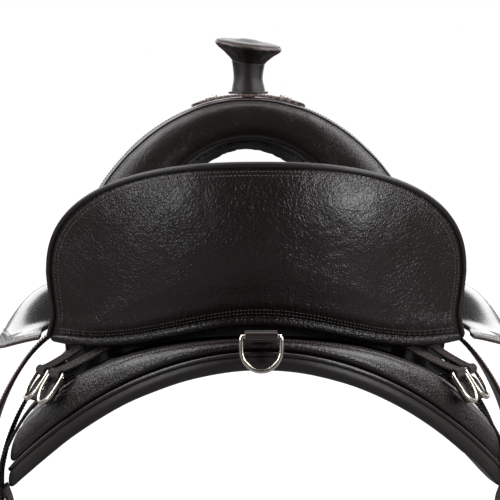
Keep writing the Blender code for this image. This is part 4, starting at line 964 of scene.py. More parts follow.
GRAIN = grain_leather("grain_leather", 500.0, 0.00047, 0.27, 0.43)
SOFT_GRAIN = grain_leather("soft_grain_leather", 700.0, 0.00026, 0.28, 0.42)
SMOOTH = smooth_leather("smooth_leather", 0.20, 0.26, 0.46)
DULL = smooth_leather("dull_leather", 0.0, 0.38, 0.58)
TOOLED = tooled_leather()
WEBBING = webbing()
NICKEL = nickel()
FELT = felt()
FLEECE = fleece()
FOAM = foam()
PLASTIC = arch_plastic()
THREADS = {
    "black": thread("black_thread", (0.022, 0.016, 0.015), (0.085, 0.062, 0.055)),
    "grey": thread("grey_thread", (0.045, 0.036, 0.033), (0.150, 0.122, 0.112)),
    "brown": thread("brown_thread", (0.034, 0.014, 0.011), (0.105, 0.042, 0.032)),
}

# The looks that go on each material slot
SLOT_LOOKS = {
    "grain_leather": (GRAIN, SOFT_GRAIN),
    "smooth_leather": (SMOOTH, DULL, TOOLED),
    "webbing": (WEBBING, *THREADS.values()),
    "nickel": (NICKEL,),
    "felt": (FELT, FLEECE),
    "foam": (FOAM,),
    "arch_plastic": (PLASTIC,),
}
SLOTS = {look.name: slot for slot, looks in SLOT_LOOKS.items() for look in looks}


# Camera, light and stage

def camera():
    data = bpy.data.cameras.new("camera")
    made = bpy.data.objects.new("camera", data)
    bpy.context.scene.collection.objects.link(made)
    up = math.radians(CAMERA_ELEVATION)
    yaw = math.radians(CAMERA_YAW)
    away = Vector((-math.sin(yaw) * math.cos(up), -math.cos(yaw) * math.cos(up), math.sin(up)))
    made.location = CAMERA_TARGET + away * CAMERA_DISTANCE
    made.rotation_euler = (-away).to_track_quat("-Z", "Y").to_euler()
    data.sensor_width = SENSOR
    data.lens = SENSOR * CAMERA_DISTANCE / FRAME_WIDTH
    bpy.context.scene.camera = made


def lamp(name, place, target, size, power):
    data = bpy.data.lights.new(name, "AREA")
    data.shape = "RECTANGLE"
    data.size, data.size_y = size
    data.energy = power
    made = bpy.data.objects.new(name, data)
    bpy.context.scene.collection.objects.link(made)
    made.location = place
    made.rotation_euler = (Vector(target) - Vector(place)).to_track_quat("-Z", "Y").to_euler()


def background(tree, colour):
    """A background of strength 1 with a plain colour or a colour output."""
    made = add(tree, "ShaderNodeBackground", {"Strength": 1.0})
    if isinstance(colour, tuple):
        made.inputs["Color"].default_value = colour
    else:
        tree.links.new(colour, made.inputs["Color"])
    return made.outputs[0]


def mixed(tree, factor, first, second):
    made = add(tree, "ShaderNodeMixShader")
    for place, output in enumerate((factor, first, second)):
        tree.links.new(output, made.inputs[place])
    return made.outputs[0]


def world():
    """Soft room light, white for the camera, and mirrored light that is strongest ahead of the horse."""
    made = bpy.data.worlds.new("studio")
    bpy.context.scene.world = made
    made.use_nodes = True
    tree = made.node_tree
    tree.nodes.clear()
    path = add(tree, "ShaderNodeLightPath").outputs
    seen = math_node(tree, "MAXIMUM", path["Is Camera Ray"], path["Is Transmission Ray"])
    split = add(tree, "ShaderNodeSeparateXYZ")
    tree.links.new(add(tree, "ShaderNodeTexCoord").outputs["Generated"], split.inputs[0])
    room = background(tree, ramp(tree, split.outputs[2], 0.0, 1.0, (grey(0.10), grey(0.34))))
    mirrored = background(tree, ramp(tree, split.outputs[1], 0.10, 0.85, (grey(0.03), grey(0.95))))
    lit = mixed(tree, path["Is Glossy Ray"], room, mirrored)
    out = add(tree, "ShaderNodeOutputWorld")
    tree.links.new(mixed(tree, seen, lit, background(tree, grey(1.0))), out.inputs[0])


def floor():
    """Pale floor: it keeps the shadow, turns white further out, and is clear when seen from below."""
    look = bpy.data.materials.new("studio_floor")
    look.use_nodes = True
    tree = look.node_tree
    shader = tree.nodes["Principled BSDF"]
    shader.inputs["Roughness"].default_value = 0.9
    shader.inputs["Specular IOR Level"].default_value = 0.1
    shader.inputs["Emission Color"].default_value = grey(1.0)
    seen = add(tree, "ShaderNodeLightPath").outputs["Is Camera Ray"]
    pale = ramp(tree, seen, 0.0, 1.0, (grey(0.20), grey(0.42)))
    tree.links.new(pale, shader.inputs["Base Color"])
    geometry = add(tree, "ShaderNodeNewGeometry")
    length = add(tree, "ShaderNodeVectorMath", operation="LENGTH")
    tree.links.new(geometry.outputs["Position"], length.inputs[0])
    reach = {"From Min": FLOOR_GLOW_FROM, "From Max": FLOOR_GLOW_TO, "To Min": 0.40, "To Max": 1.0}
    far = add(tree, "ShaderNodeMapRange", reach, interpolation_type="SMOOTHSTEP")
    tree.links.new(length.outputs["Value"], far.inputs["Value"])
    shown = math_node(tree, "MULTIPLY", seen, far.outputs[0])
    tree.links.new(shown, shader.inputs["Emission Strength"])
    clear = add(tree, "ShaderNodeBsdfTransparent").outputs[0]
    blend = mixed(tree, geometry.outputs["Backfacing"], shader.outputs[0], clear)
    tree.links.new(blend, tree.nodes["Material Output"].inputs[0])
    mesh = bpy.data.meshes.new("floor")
    shape = bmesh.new()
    bmesh.ops.create_circle(shape, cap_ends=True, segments=96, radius=FLOOR_RADIUS)
    for face in shape.faces:
        if face.normal.z < 0.0:
            face.normal_flip()
    shape.to_mesh(mesh)
    shape.free()
    made = bpy.data.objects.new("floor", mesh)
    bpy.context.scene.collection.objects.link(made)
    made.location.z = FLOOR_Z
    mesh.materials.append(look)


camera()
world()
floor()
lamp("key_left", (-1.80, -1.35, 0.50), (-0.10, -0.20, 0.12), (0.45, 0.80), 15.0)
lamp("key_right", (1.80, -1.35, 0.50), (0.10, -0.20, 0.12), (0.45, 0.80), 24.0)
lamp("top", (0.0, -0.15, 2.1), (0.0, -0.05, 0.0), (1.1, 0.9), 10.0)
lamp("side_left", (-1.15, 0.05, 1.25), (-0.22, -0.10, 0.03), (1.5, 1.2), 28.0)
lamp("side_right", (1.15, 0.05, 1.25), (0.22, -0.10, 0.03), (1.5, 1.2), 30.0)
lamp("ahead", (0.0, 2.7, 0.75), (0.0, 0.0, 0.05), (3.2, 1.7), 24.0)
bpy.context.scene.view_settings.view_transform = "Standard"


# Base pad, skirt and panels

PAD_PIPING = 0.0021
PAD_PIPING_INSET = 0.0026
PAD_PIPING_SINK = 0.0012
PAD_EASE = 0.0004
PAD_WAVE = 0.0008
SKIRT_WAVE = 0.0009
SKIRT_RIPPLE = 0.0003
SKIRT_SETTLE = 0.0010
SKIRT_EDGE = 0.020
SKIRT_SEAM_AT = 0.0115
SKIRT_SEAM_WIDTH = 0.0013
SKIRT_SEAM_DEPTH = 0.0012
SKIRT_STITCH_INSETS = (0.0092, 0.0145)
PANEL_EDGE = 0.006
QUILT_PITCH = 0.05
QUILT_WIDTH = 0.003
QUILT_DEPTH = 0.0006


def back_spread(y):
    share = smooth((y - PAD_REAR_Y) / (PAD_FRONT_Y - PAD_REAR_Y))
    return mix(BACK_SPREAD_REAR, BACK_SPREAD_FRONT, share)


def back_point(x, y, height):
    """Point over the back; the height counts square to the slope from side to side."""
    spread = back_spread(y)
    rise = BACK_ROCKER * ((y - BACK_LOW_Y) ** 2 - (PAD_REAR_Y - BACK_LOW_Y) ** 2)
    z = rise - spread * x * x + height * np.hypot(1.0, 2.0 * spread * x)
    return np.stack([x, y, z], axis=-1)


def corner_share(x):
    share = np.minimum(np.abs(x) / PAD_HALF_WIDTH, 1.0)
    return 1.0 - np.maximum(1.0 - share ** CORNER_POWER, 0.0) ** (1.0 / CORNER_POWER)


def pad_rear(x):
    return PAD_REAR_Y + REAR_SWEEP * x * x + REAR_CORNER * corner_share(x)


def pad_front(x):
    notch = NOTCH_DEPTH * np.exp(-((x / NOTCH_HALF_WIDTH) ** 2))
    return PAD_FRONT_Y - notch - FRONT_CORNER * corner_share(x)


def edge_distance(x, y):
    return np.minimum(np.minimum(PAD_HALF_WIDTH - np.abs(x), y - pad_rear(x)), pad_front(x) - y)


SKIRT_LOW = PAD_THICKNESS + GAP
SKIRT_TOP = SKIRT_LOW + SKIRT_THICKNESS
SKIRT_MIDDLE = SKIRT_LOW + 0.5 * SKIRT_THICKNESS


def skirt_crest(x, y):
    behind = smooth((SKIRT_SWELL_END_Y - y) / (SKIRT_SWELL_END_Y - SKIRT_SWELL_REAR_Y))
    return SKIRT_TOP + SKIRT_SWELL * smooth(np.abs(x) / SKIRT_SWELL_X) * behind


def skirt_top(x, y):
    edge = roll_off(np.maximum(edge_distance(x, y) - SKIRT_INSET, 0.0), SKIRT_ROLL)
    return mix(SKIRT_MIDDLE, skirt_crest(x, y), edge)


def on_skirt(x, y, lift=FOOT_GAP):
    return back_point(x, y, skirt_top(x, y) + lift)


def eased_steps(count):
    """Steps from 0 to 1 that are finer towards both ends."""
    share = np.linspace(0.0, 1.0, count)
    return 0.5 - 0.5 * np.cos(np.pi * (0.15 * share + 0.85 * smooth(share)))


def layer_points(inset, columns=150, rows=170):
    """Grid of (x, y) over the pad's plan, finer towards its outline."""
    half = PAD_HALF_WIDTH - inset
    x = half * (2.0 * eased_steps(columns) - 1.0)
    x[0], x[-1] = -half, half
    v = eased_steps(rows)
    v[0], v[-1] = 0.0, 1.0
    grid_x = np.repeat(x[:, None], rows, axis=1)
    return grid_x, mix(pad_rear(grid_x) + inset, pad_front(grid_x) - inset, v[None, :])


def plan_outline(inset, height, count=900):
    """The layers' outline at a height over the back, moved inwards."""
    half = PAD_HALF_WIDTH - inset
    x = half * np.sin(np.linspace(-0.5 * np.pi, 0.5 * np.pi, 400))
    rear = np.stack([x, pad_rear(x) + inset], axis=1)
    front = np.stack([x[::-1], pad_front(x[::-1]) - inset], axis=1)
    x, y = evenly(np.concatenate([rear, front]), count).T
    return back_point(x, y, np.full(count, height))


def base_pad():
    """The padded base: its lower edge is one soft roll that runs all round."""
    x, y = layer_points(0.0)
    distance = edge_distance(x, y)
    edge = roll_off(distance, PAD_ROLL)
    wave = PAD_WAVE * lumps(back_point(x, y, 0.0), 22.0, 1) * hump(distance, 0.010, 0.014)
    high = PAD_THICKNESS * mix(0.5, 1.0, edge) - PAD_EASE * smooth(distance / PAD_ROLL)
    recess = (PANEL_THICKNESS + PANEL_HEADROOM) * smooth((distance - LIP_WIDTH) / LIP_SLOPE)
    low = mix(0.5 * PAD_THICKNESS, recess, edge) + wave
    parts = [closed_sheet(back_point(x, y, high), back_point(x, y, low))]
    build("base_pad_cover", parts, DULL, stands_for=["base_pad"], fill=0.7)
    line = plan_outline(PAD_PIPING_INSET, PAD_THICKNESS - PAD_PIPING_SINK)
    build("pad_piping", [swept(line, PAD_PIPING, closed=True, facing=Z_AXIS)], SMOOTH)


def skirt():
    """The padded skirt on the base: pebbled leather with a sewn line above its rolled edge."""
    x, y = layer_points(SKIRT_INSET)
    distance = np.maximum(edge_distance(x, y) - SKIRT_INSET, 0.0)
    places = back_point(x, y, 0.0)
    body = smooth(distance / SKIRT_EDGE)
    wave = SKIRT_WAVE * lumps(places, 16.0, 2) + SKIRT_RIPPLE * lumps(places, 60.0, 3)
    seam = SKIRT_SEAM_DEPTH * hump(distance, SKIRT_SEAM_AT, SKIRT_SEAM_WIDTH)
    high = mix(SKIRT_MIDDLE, skirt_crest(x, y), roll_off(distance, SKIRT_ROLL))
    high = high + wave * body - seam - SKIRT_SETTLE * body
    low = mix(SKIRT_MIDDLE, SKIRT_LOW, roll_off(distance, PAD_ROLL))
    parts = [closed_sheet(back_point(x, y, high), back_point(x, y, low))]
    tree = tree_of(build("skirt_leather", parts, GRAIN, stands_for=["skirt"], fill=0.7))
    for inset in SKIRT_STITCH_INSETS:
        stitch_on(tree, plan_outline(SKIRT_INSET + inset, SKIRT_TOP + 0.004), "black", closed=True)


def panel(side, name):
    """Felt panel under the pad, with a quilted face."""
    margin = LIP_WIDTH + LIP_SLOPE + PANEL_CLEARANCE
    outer = PAD_HALF_WIDTH - margin
    x = np.repeat((side * np.linspace(CHANNEL_HALF_WIDTH, outer, 60))[:, None], 120, axis=1)
    y = mix(pad_rear(x) + margin, pad_front(x) - margin, np.linspace(0.0, 1.0, 120)[None, :])
    inside = np.minimum(np.abs(x) - CHANNEL_HALF_WIDTH, outer - np.abs(x))
    inside = np.minimum(inside, np.minimum(y - pad_rear(x), pad_front(x) - y) - margin)
    edge = roll_off(np.maximum(inside, 0.0), PANEL_EDGE)
    rows = [hump(np.mod(way, QUILT_PITCH), 0.5 * QUILT_PITCH, QUILT_WIDTH) for way in (y + x, y - x)]
    quilt = QUILT_DEPTH * np.maximum(*rows)
    high = mix(0.5 * PANEL_THICKNESS, PANEL_THICKNESS - 0.0002, edge)
    low = mix(0.5 * PANEL_THICKNESS, 0.0, edge) + quilt * smooth(inside / 0.01)
    parts = [closed_sheet(back_point(x, y, high), back_point(x, y, low))]
    build(name + "_pad", parts, FELT, stands_for=[name], fill=0.6)


# Cantle

CANTLE_TUCK = 1.65 * RIM_RADIUS
CANTLE_WAVE = 0.0013
CANTLE_RIPPLE = 0.0004
GATHER_PITCH = 0.0056
GATHER_DEPTH = 0.00065
ARC_X = 0.030
ARC_Z = 0.190
ARC_PITCH = 0.0110
ARC_DEPTH = 0.00014
SEAM_SWELL = 0.0026
SEAM_SWELL_AT = 0.020
SEAM_DEPTH = 0.0015
SEAM_AT = 0.0095
RIM_STITCH_INSETS = (0.0088, 0.0124)
SEAM_STITCH_LIFTS = (0.0117, 0.0150)
SEAM_STITCH_HALF = 0.187
BINDING_HALF = 0.1965
BINDING_RADIUS = 0.0046


def cantle_y(x, z):
    return CANTLE_REAR_Y + CANTLE_SWEEP * x * x - CANTLE_LEAN * (z - CANTLE_BOTTOM_Z)


def cantle_bottom(x):
    return CANTLE_BOTTOM_Z - CANTLE_BOTTOM_DROP * smooth(np.abs(x) / CANTLE_BOTTOM_REACH)


def cantle_outline():
    """The rear panel's outline: from the right bottom corner over the top to the left, and the bottom."""
    power = 2.0 / CANTLE_POWER
    sides = [(CANTLE_CORNER_HALF, CANTLE_CORNER_Z), (CANTLE_WAIST_HALF, CANTLE_WAIST_Z)]
    sides.append((mix(CANTLE_WAIST_HALF, CANTLE_HALF_WIDTH, 0.5), mix(CANTLE_WAIST_Z, CANTLE_WIDEST_Z, 0.5)))
    arc = []
    for k in range(97):
        turn = math.pi * k / 96
        reach = math.copysign(abs(math.cos(turn)) ** power, math.cos(turn))
        height = mix(CANTLE_WIDEST_Z, CANTLE_TOP_Z, abs(math.sin(turn)) ** power)
        arc.append((CANTLE_HALF_WIDTH * reach, height))
    over = finer(sides + arc + [(-x, z) for x, z in reversed(sides)], 0.0015)
    x = CANTLE_CORNER_HALF * 0.985 * np.linspace(-1.0, 1.0, 240)[1:-1]
    return over, np.stack([x, cantle_bottom(x)], axis=1)


def inset_line(points, distance, closed=True):
    """A line in the plane moved to its left."""
    along = tangents(points, closed)
    return points + distance * np.stack([-along[:, 1], along[:, 0]], axis=1)


def on_cantle(line, rear):
    """Points (x, z) of the rear panel's plane, moved back from its own surface by a distance."""
    return np.stack([line[:, 0], cantle_y(line[:, 0], line[:, 1]) - rear, line[:, 1]], axis=1)


def cantle_relief(x, z, from_bottom):
    """Waves, gathers over the seam, arc wrinkles and the seam itself, as height over the plain panel."""
    flat = np.stack([x, z, np.zeros_like(x)], axis=-1)
    fine = lumps(flat, 55.0, 5)
    gather = np.sin(2.0 * np.pi * (x / GATHER_PITCH + 0.8 * lumps(flat, 60.0, 6)))
    gather_here = hump(from_bottom, 0.014, 0.016) * (0.25 + 0.75 * hump(np.abs(x), 0.165, 0.040))
    arc = np.sin(2.0 * np.pi * (np.hypot(x - ARC_X, z - ARC_Z) / ARC_PITCH + 0.8 * fine))
    arc_here = hump(x, 0.045, 0.065) * hump(z, 0.105, 0.034)
    out = CANTLE_WAVE * lumps(flat, 14.0, 4) + CANTLE_RIPPLE * fine
    out = out + GATHER_DEPTH * gather * gather_here + ARC_DEPTH * arc * arc_here
    out = out + SEAM_SWELL * hump(from_bottom, SEAM_SWELL_AT, 0.009)
    return out - SEAM_DEPTH * hump(from_bottom, SEAM_AT, 0.0014)


def cantle_panel():
    over, below = cantle_outline()
    count = 720
    line = evenly(inset_line(np.concatenate([over, below]), CANTLE_TUCK), count)
    reaches = np.concatenate([np.linspace(0.02, 0.90, 62), np.linspace(0.905, 1.0, 28)])
    reach = np.repeat(reaches[:, None], count, axis=1)
    x = line[None, :, 0] * reach
    z = mix(0.5 * (CANTLE_TOP_Z + CANTLE_BOTTOM_Z), line[None, :, 1], reach)
    out = CANTLE_CROWN * (1.0 - reach ** 2.2) + cantle_relief(x, z, z - cantle_bottom(x))
    edge = smooth((1.0 - reach) / 0.045)
    rear = cantle_y(x, z) - out * edge + 0.0016 * (1.0 - roll_off(1.0 - reach, 0.035))
    front = cantle_y(x, z) - 0.7 * CANTLE_BULGE * (1.0 - reach ** 2) + CANTLE_LEATHER
    first = np.stack([x, rear, z], axis=-1)
    second = np.stack([x, front, z], axis=-1)
    parts = [loft(np.concatenate([first, second[::-1]]))]
    mesh = build("cantle_panel", parts, GRAIN, stands_for=["cantle_back"], sharp=75.0, fill=0.8)
    return tree_of(mesh), over, below


def cantle():
    """The cantle's back with its piped rim, its stitch rows and the binding under its seam."""
    tree, over, below = cantle_panel()
    closed = np.concatenate([over, below])
    rim = on_cantle(inset_line(closed, RIM_RADIUS)[: len(over)], -0.5 * CANTLE_LEATHER)
    build("cantle_piping", [swept(rim, RIM_RADIUS, 16, flat=1.05)], DULL, stands_for=["cantle_rim"])
    trim = slice(14, len(over) - 14)
    rows = [inset_line(closed, inset)[trim] for inset in RIM_STITCH_INSETS]
    x = np.linspace(-SEAM_STITCH_HALF, SEAM_STITCH_HALF, 300)
    rows += [np.stack([x, cantle_bottom(x) + lift], axis=1) for lift in SEAM_STITCH_LIFTS]
    for row in rows:
        stitch_on(tree, on_cantle(row, 0.004), "grey", direction=Y_AXIS)
    x = np.linspace(-BINDING_HALF, BINDING_HALF, 320)
    wave = 0.0003 * np.array([noise.noise(Vector((p * 40.0, 3.0, 0.0))) for p in x])
    row = np.stack([x, cantle_bottom(x) + BINDING_RADIUS + wave], axis=1)
    line = on_cantle(row, 0.0006 - 0.3 * CANTLE_LEATHER)
    size = BINDING_RADIUS * mix(1.0, 0.72, smooth((np.abs(x) / BINDING_HALF - 0.9) / 0.1))
    build("cantle_binding", [swept(line, size, 16, flat=0.66)], GRAIN)


# Seat

CHANNEL_DEPTH = 0.0032
CHANNEL_DISH = 0.0010
CHANNEL_POWER = 5
CROSS_SEAM_AT = 0.34
CROSS_SEAM_DEPTH = 0.0024
SEAT_CREASES = 16.0
SEAT_CREASE_DEPTH = 0.00025
SEAT_WAVE = 0.0008
SEAT_RIPPLE = 0.0003
SEAT_SWELL = 0.0030
SEAT_TUCK = 0.0014
SEAT_PIPING = 0.0014
SEAT_PIPING_DEPTH = 0.0042
SEAT_PIPING_INSET = 0.0006
FOAM_HOLLOW = 0.0025


def seat_half(v):
    return mix(SEAT_FRONT_HALF, SEAT_REAR_HALF, np.cos(0.5 * np.pi * v) ** 2)


def dome(share):
    return np.maximum(1.0 - np.minimum(np.abs(share), 1.0) ** CANTLE_POWER, 0.0) ** (1.0 / CANTLE_POWER)


def seat_rim_z(x):
    rise = CANTLE_TOP_Z - CANTLE_WIDEST_Z - 2.0 * RIM_RADIUS - GAP
    return CANTLE_WIDEST_Z + rise * dome(x / SEAT_REAR_HALF)


def seat_side_z(v):
    return SEAT_SIDE_Z - SEAT_SIDE_DIP * np.sin(np.pi * v)


def seat_top(u, v):
    x = seat_half(v) * u
    rear = mix(seat_rim_z(0.0), SEAT_LOW_Z, smooth(v / SEAT_LOW_AT))
    front = mix(SEAT_LOW_Z, SEAT_FRONT_Z, smooth((v - SEAT_LOW_AT) / (1.0 - SEAT_LOW_AT)))
    z = mix(seat_side_z(v), np.where(v < SEAT_LOW_AT, rear, front), dome(u))
    rim_y = cantle_y(x, seat_rim_z(x)) + CANTLE_LEATHER + LAYER_GAP
    return np.stack([x, mix(rim_y, SEAT_FRONT_Y, v), z], axis=-1)


def seat_layer(u, v, depth):
    point = seat_top(u, v)
    point[..., 2] -= depth
    point[..., 1] += CANTLE_LEAN * depth * (1.0 - v)
    return point


def cushion_depth(u, v):
    edge = np.minimum(1.0 - np.abs(u), np.minimum(2.0 * v, 2.0 * (1.0 - v)))
    return CUSHION_EDGE + CUSHION_CROWN * roll_off(edge, CUSHION_ROLL)


def seat_grid(columns, rows, first=0.0, last=1.0):
    u = np.sin(0.5 * np.pi * np.linspace(-1.0, 1.0, columns))
    v = np.linspace(first, last, rows)
    return np.meshgrid(u, v, indexing="ij")


def seat_cover():
    """The seat's cover after it was blown up, with the values that say where a point is on it."""
    u, v = seat_grid(68, 72)
    inside = np.minimum(1.0 - np.abs(u), np.minimum(v, 1.0 - v))
    tuck = SEAT_TUCK * smooth(inside / 0.05)
    bottom = seat_layer(u, v, cushion_depth(u, v) - 0.4 * tuck)
    mesh = mesh_from("seat_leather", [closed_sheet(seat_layer(u, v, tuck), bottom)])
    for label, values in (("seat_u", u), ("seat_v", v)):
        set_value(mesh, label, np.concatenate([values.ravel(), values.ravel()]))
    set_value(mesh, "upper", np.concatenate([np.ones(u.size), np.zeros(u.size)]))
    before = coordinates(mesh)
    blown_up(mesh, SEAT_SWELL)
    held = np.concatenate([smooth(inside / 0.03).ravel(), np.zeros(u.size)])[:, None]
    move_to(mesh, mix(before, coordinates(mesh), held))
    return subdivided(mesh)


def seat_cushion():
    """Padded seat: its cover is blown up, then the sewn channel is pulled down into it."""
    mesh = seat_cover()
    u, v = get_value(mesh, "seat_u"), get_value(mesh, "seat_v")
    along = 2.0 * v - 1.0
    points = coordinates(mesh)
    on_top = smooth(get_value(mesh, "upper"))
    ring = np.maximum(np.abs(u), np.abs(along))
    round_ring = round_square(u, along, CHANNEL_POWER)
    channel = CHANNEL_DEPTH * hump(round_ring, CHANNEL_AT, 0.022)
    channel = channel + CHANNEL_DISH * hump(round_ring, CHANNEL_AT, 0.060)
    cross = CROSS_SEAM_DEPTH * hump(v, CROSS_SEAM_AT, 0.010) * smooth((CHANNEL_AT - np.abs(u)) / 0.05)
    creases = np.sin(2.0 * np.pi * (np.arctan2(along, u) * SEAT_CREASES + 0.8 * lumps(points, 30.0, 9)))
    creases = SEAT_CREASE_DEPTH * creases * hump(round_ring, CHANNEL_AT + 0.09, 0.05)
    broad = SEAT_WAVE * lumps(points, 18.0, 7) + SEAT_RIPPLE * lumps(points, 60.0, 8)
    depth = (channel + cross + creases - broad * smooth((1.0 - ring) / 0.1)) * on_top
    move_to(mesh, points - normals_of(mesh) * depth[:, None])
    set_value(mesh, "wear", 0.35 * hump(ring, 0.985, 0.02) * on_top)
    add_piece("seat_leather", mesh, GRAIN, stands_for=["seat_cushion"], fill=0.8)
    tree = tree_of(mesh)
    turn = full_turn(700)
    for reach in (CHANNEL_AT - 0.020, CHANNEL_AT + 0.020):
        scale = reach / round_square(np.cos(turn), np.sin(turn), CHANNEL_POWER)
        line = seat_top(scale * np.cos(turn), 0.5 + 0.5 * scale * np.sin(turn))
        stitch_on(tree, line, "black", closed=True)
    edge_v = np.linspace(0.03, 0.97, 300)
    for side, _ in SIDES:
        stitch_on(tree, seat_top(np.full_like(edge_v, side * 0.975), edge_v), "black")


def seat_edge_piping():
    """Thin bead along both sides of the seat, where its cover meets the ground seat."""
    v = np.linspace(0.02, 0.985, 260)
    for side, label in SIDES:
        line = seat_layer(np.full_like(v, side), v, np.full_like(v, SEAT_PIPING_DEPTH))
        line[:, 0] -= side * SEAT_PIPING_INSET
        build("seat_piping_" + label, [swept(line, SEAT_PIPING, 10, facing=Z_AXIS)], SMOOTH)


def ground_seat():
    u, v = seat_grid(80, 90)
    depth = cushion_depth(u, v) + LAYER_GAP
    parts = [closed_sheet(seat_layer(u, v, depth), seat_layer(u, v, depth + GROUND_SEAT))]
    build("ground_seat_leather", parts, SMOOTH, stands_for=["ground_seat"], sharp=60.0)


def foam_bottom(u, v):
    point = seat_top(u, v)
    x = point[..., 0] * FOAM_TUCK
    z = on_skirt(x, point[..., 1])[..., 2]
    lean = CANTLE_LEAN * (point[..., 2] - z) * (1.0 - v)
    y = point[..., 1] + lean + CORE_TUCK * (1.0 - smooth(v / CORE_SHARE))
    return on_skirt(x, y)


def foam_block(name, node, first, last, columns, rows):
    """Foam under the seat, with softly hollowed sides."""
    u, v = seat_grid(columns, rows, first, last)
    top = seat_layer(u, v, cushion_depth(u, v) + GROUND_SEAT + 2.0 * LAYER_GAP)
    bottom = foam_bottom(u, v)
    levels = np.linspace(0.0, 1.0, 14)
    edge = [(k, 0) for k in range(columns - 1)] + [(columns - 1, k) for k in range(rows - 1)]
    edge += [(k, rows - 1) for k in range(columns - 1, 0, -1)] + [(0, k) for k in range(rows - 1, 0, -1)]
    a, b = np.array(edge).T
    rings = np.array([mix(top[a, b], bottom[a, b], level) for level in levels])
    middle = rings.mean(axis=1, keepdims=True)
    inward = unit((middle - rings) * np.array([1.0, 1.0, 0.0]))
    rings = rings + inward * (FOAM_HOLLOW * np.sin(np.pi * levels))[:, None, None]
    mesh = applied(mesh_from(name, [walled(top, rings, bottom)]), ("WELD", {"merge_threshold": 0.00001}))
    add_piece(name, mesh, FOAM, stands_for=[node], sharp=60.0, fill=0.9)


def walled(top, rings, low):
    """Closed body: two grids of points joined by a wall that runs round their edge."""
    rows, columns = top.shape[:2]
    count = rows * columns
    quads = grid_quads(rows, columns)
    points = [top.reshape(-1, 3), low.reshape(-1, 3), rings.reshape(-1, 3)]
    faces = quads.tolist() + (quads[:, ::-1] + count).tolist()
    size = rings.shape[1]
    for level in range(len(rings) - 1):
        start = 2 * count + level * size
        for k in range(size):
            n = (k + 1) % size
            faces.append([start + n, start + k, start + size + k, start + size + n])
    return np.concatenate(points), faces


# Pommel arch

ROLL_POINTS = 40
ROLL_STEPS = 120
ROLL_HALF_SHARE = 0.465
ROLL_SWELL = 0.0024
ROLL_WAVE = 0.0009
ROLL_RIPPLE = 0.0004
ROLL_FOLD = 0.0007
ROLL_PIPINGS = (("outer", 0.930, 0.013, 0.0018), ("inner", 0.075, 0.017, 0.0015))
COVER_POINTS = 56
COVER_STEPS = 240
COVER_WAVE = 0.0004
COVER_EASE = 0.0002
COVER_STITCH_INSET = 0.0080
LINING_POINTS = 64
LINING_STEPS = 330
LINING_TUFTS = 0.0009
LINING_FUZZ = 0.0006
SECTION_SCALE = (0.060, 1.0)
FIBRES = 2600
FIBRE_RADIUS = 0.00022
FIBRE_SPREAD = 0.010
FIBRE_REACH = 0.93
FIBRE_TURN = 1.62


def arch_point(share, y, turn):
    half = mix(ARCH_INNER_HALF, ARCH_OUTER_HALF, share)
    top = mix(ARCH_INNER_TOP, ARCH_OUTER_TOP, share)
    return np.stack([half * np.sin(turn), y + 0.0 * turn, top * np.cos(turn)], axis=-1)


def arch_end(share, y):
    """The turn at which each line of the arch meets the skirt, found by halving."""
    low = np.full_like(share, 0.5)
    high = np.full_like(share, 2.2)
    for _ in range(40):
        turn = 0.5 * (low + high)
        point = arch_point(share, y, turn)
        inside = point[..., 2] < on_skirt(point[..., 0], y)[..., 2]
        high = np.where(inside, turn, high)
        low = np.where(inside, low, turn)
    return low


def flared(y, along):
    return LAYERS_Y + (y - LAYERS_Y) * (1.0 + LEG_FLARE * smooth(np.abs(along)))


def arch_rings(section, steps):
    """Rings of a section of (share, y) rows, swept along the arch from skirt to skirt."""
    share, y = section[:, 0], section[:, 1]
    along = np.linspace(-1.0, 1.0, steps)[:, None]
    turns = along * arch_end(share, flared(y, 1.0))[None, :]
    return arch_point(share[None, :], flared(y[None, :], along), turns)


def closed_line(points, count):
    """A section with its corners eased, measured as if a whole share were 60 mm."""
    scale = np.array(SECTION_SCALE)
    line = finer(np.array(points, dtype=float) * scale, 0.0004, closed=True)
    return evenly(line, count) / scale


def arch_line(share, y, steps, trim):
    """A line along the arch at one place of its section, with its ends trimmed."""
    rings = arch_rings(np.array([[share, y]]), steps)
    cut = int(trim * steps)
    return rings[cut : steps - cut, 0]


def dense(corners, count):
    """Corner points with extra ones between them, so that the sides stay straight when eased."""
    corners = np.array(corners, dtype=float)
    share = np.linspace(0.06, 0.94, count)[:, None]
    return np.concatenate([mix(a, b, share) for a, b in zip(corners, np.roll(corners, -1, axis=0))])


def roll_cover():
    """The roll's cover after it was blown up, with the values that say where a point is on it."""
    turn = 2.0 * np.pi * np.arange(ROLL_POINTS) / ROLL_POINTS
    power = 2.0 / ROLL_POWER
    share = 0.5 + ROLL_HALF_SHARE * signed_power(np.sin(turn), power)
    bulge = signed_power(np.cos(turn), power)
    y = ROLL_REAR_Y + 0.0008 + 0.5 * (ROLL_DEPTH - 0.0012) * (1.0 + bulge)
    mesh = mesh_from("pommel_leather", [loft(arch_rings(np.stack([share, y], axis=1), ROLL_STEPS))])
    along = np.repeat(np.linspace(-1.0, 1.0, ROLL_STEPS), ROLL_POINTS)
    bulge = np.tile(bulge, ROLL_STEPS)
    set_value(mesh, "along", np.concatenate([along, [-1.0, 1.0]]))
    set_value(mesh, "around", np.concatenate([bulge, [0.0, 0.0]]))
    before = coordinates(mesh)
    blown_up(mesh, ROLL_SWELL)
    free = smooth((0.985 - np.abs(along)) / 0.06) * smooth((0.75 - bulge) / 0.3)
    free = np.concatenate([free, [0.0, 0.0]])
    move_to(mesh, mix(before, coordinates(mesh), free[:, None]))
    return subdivided(mesh)


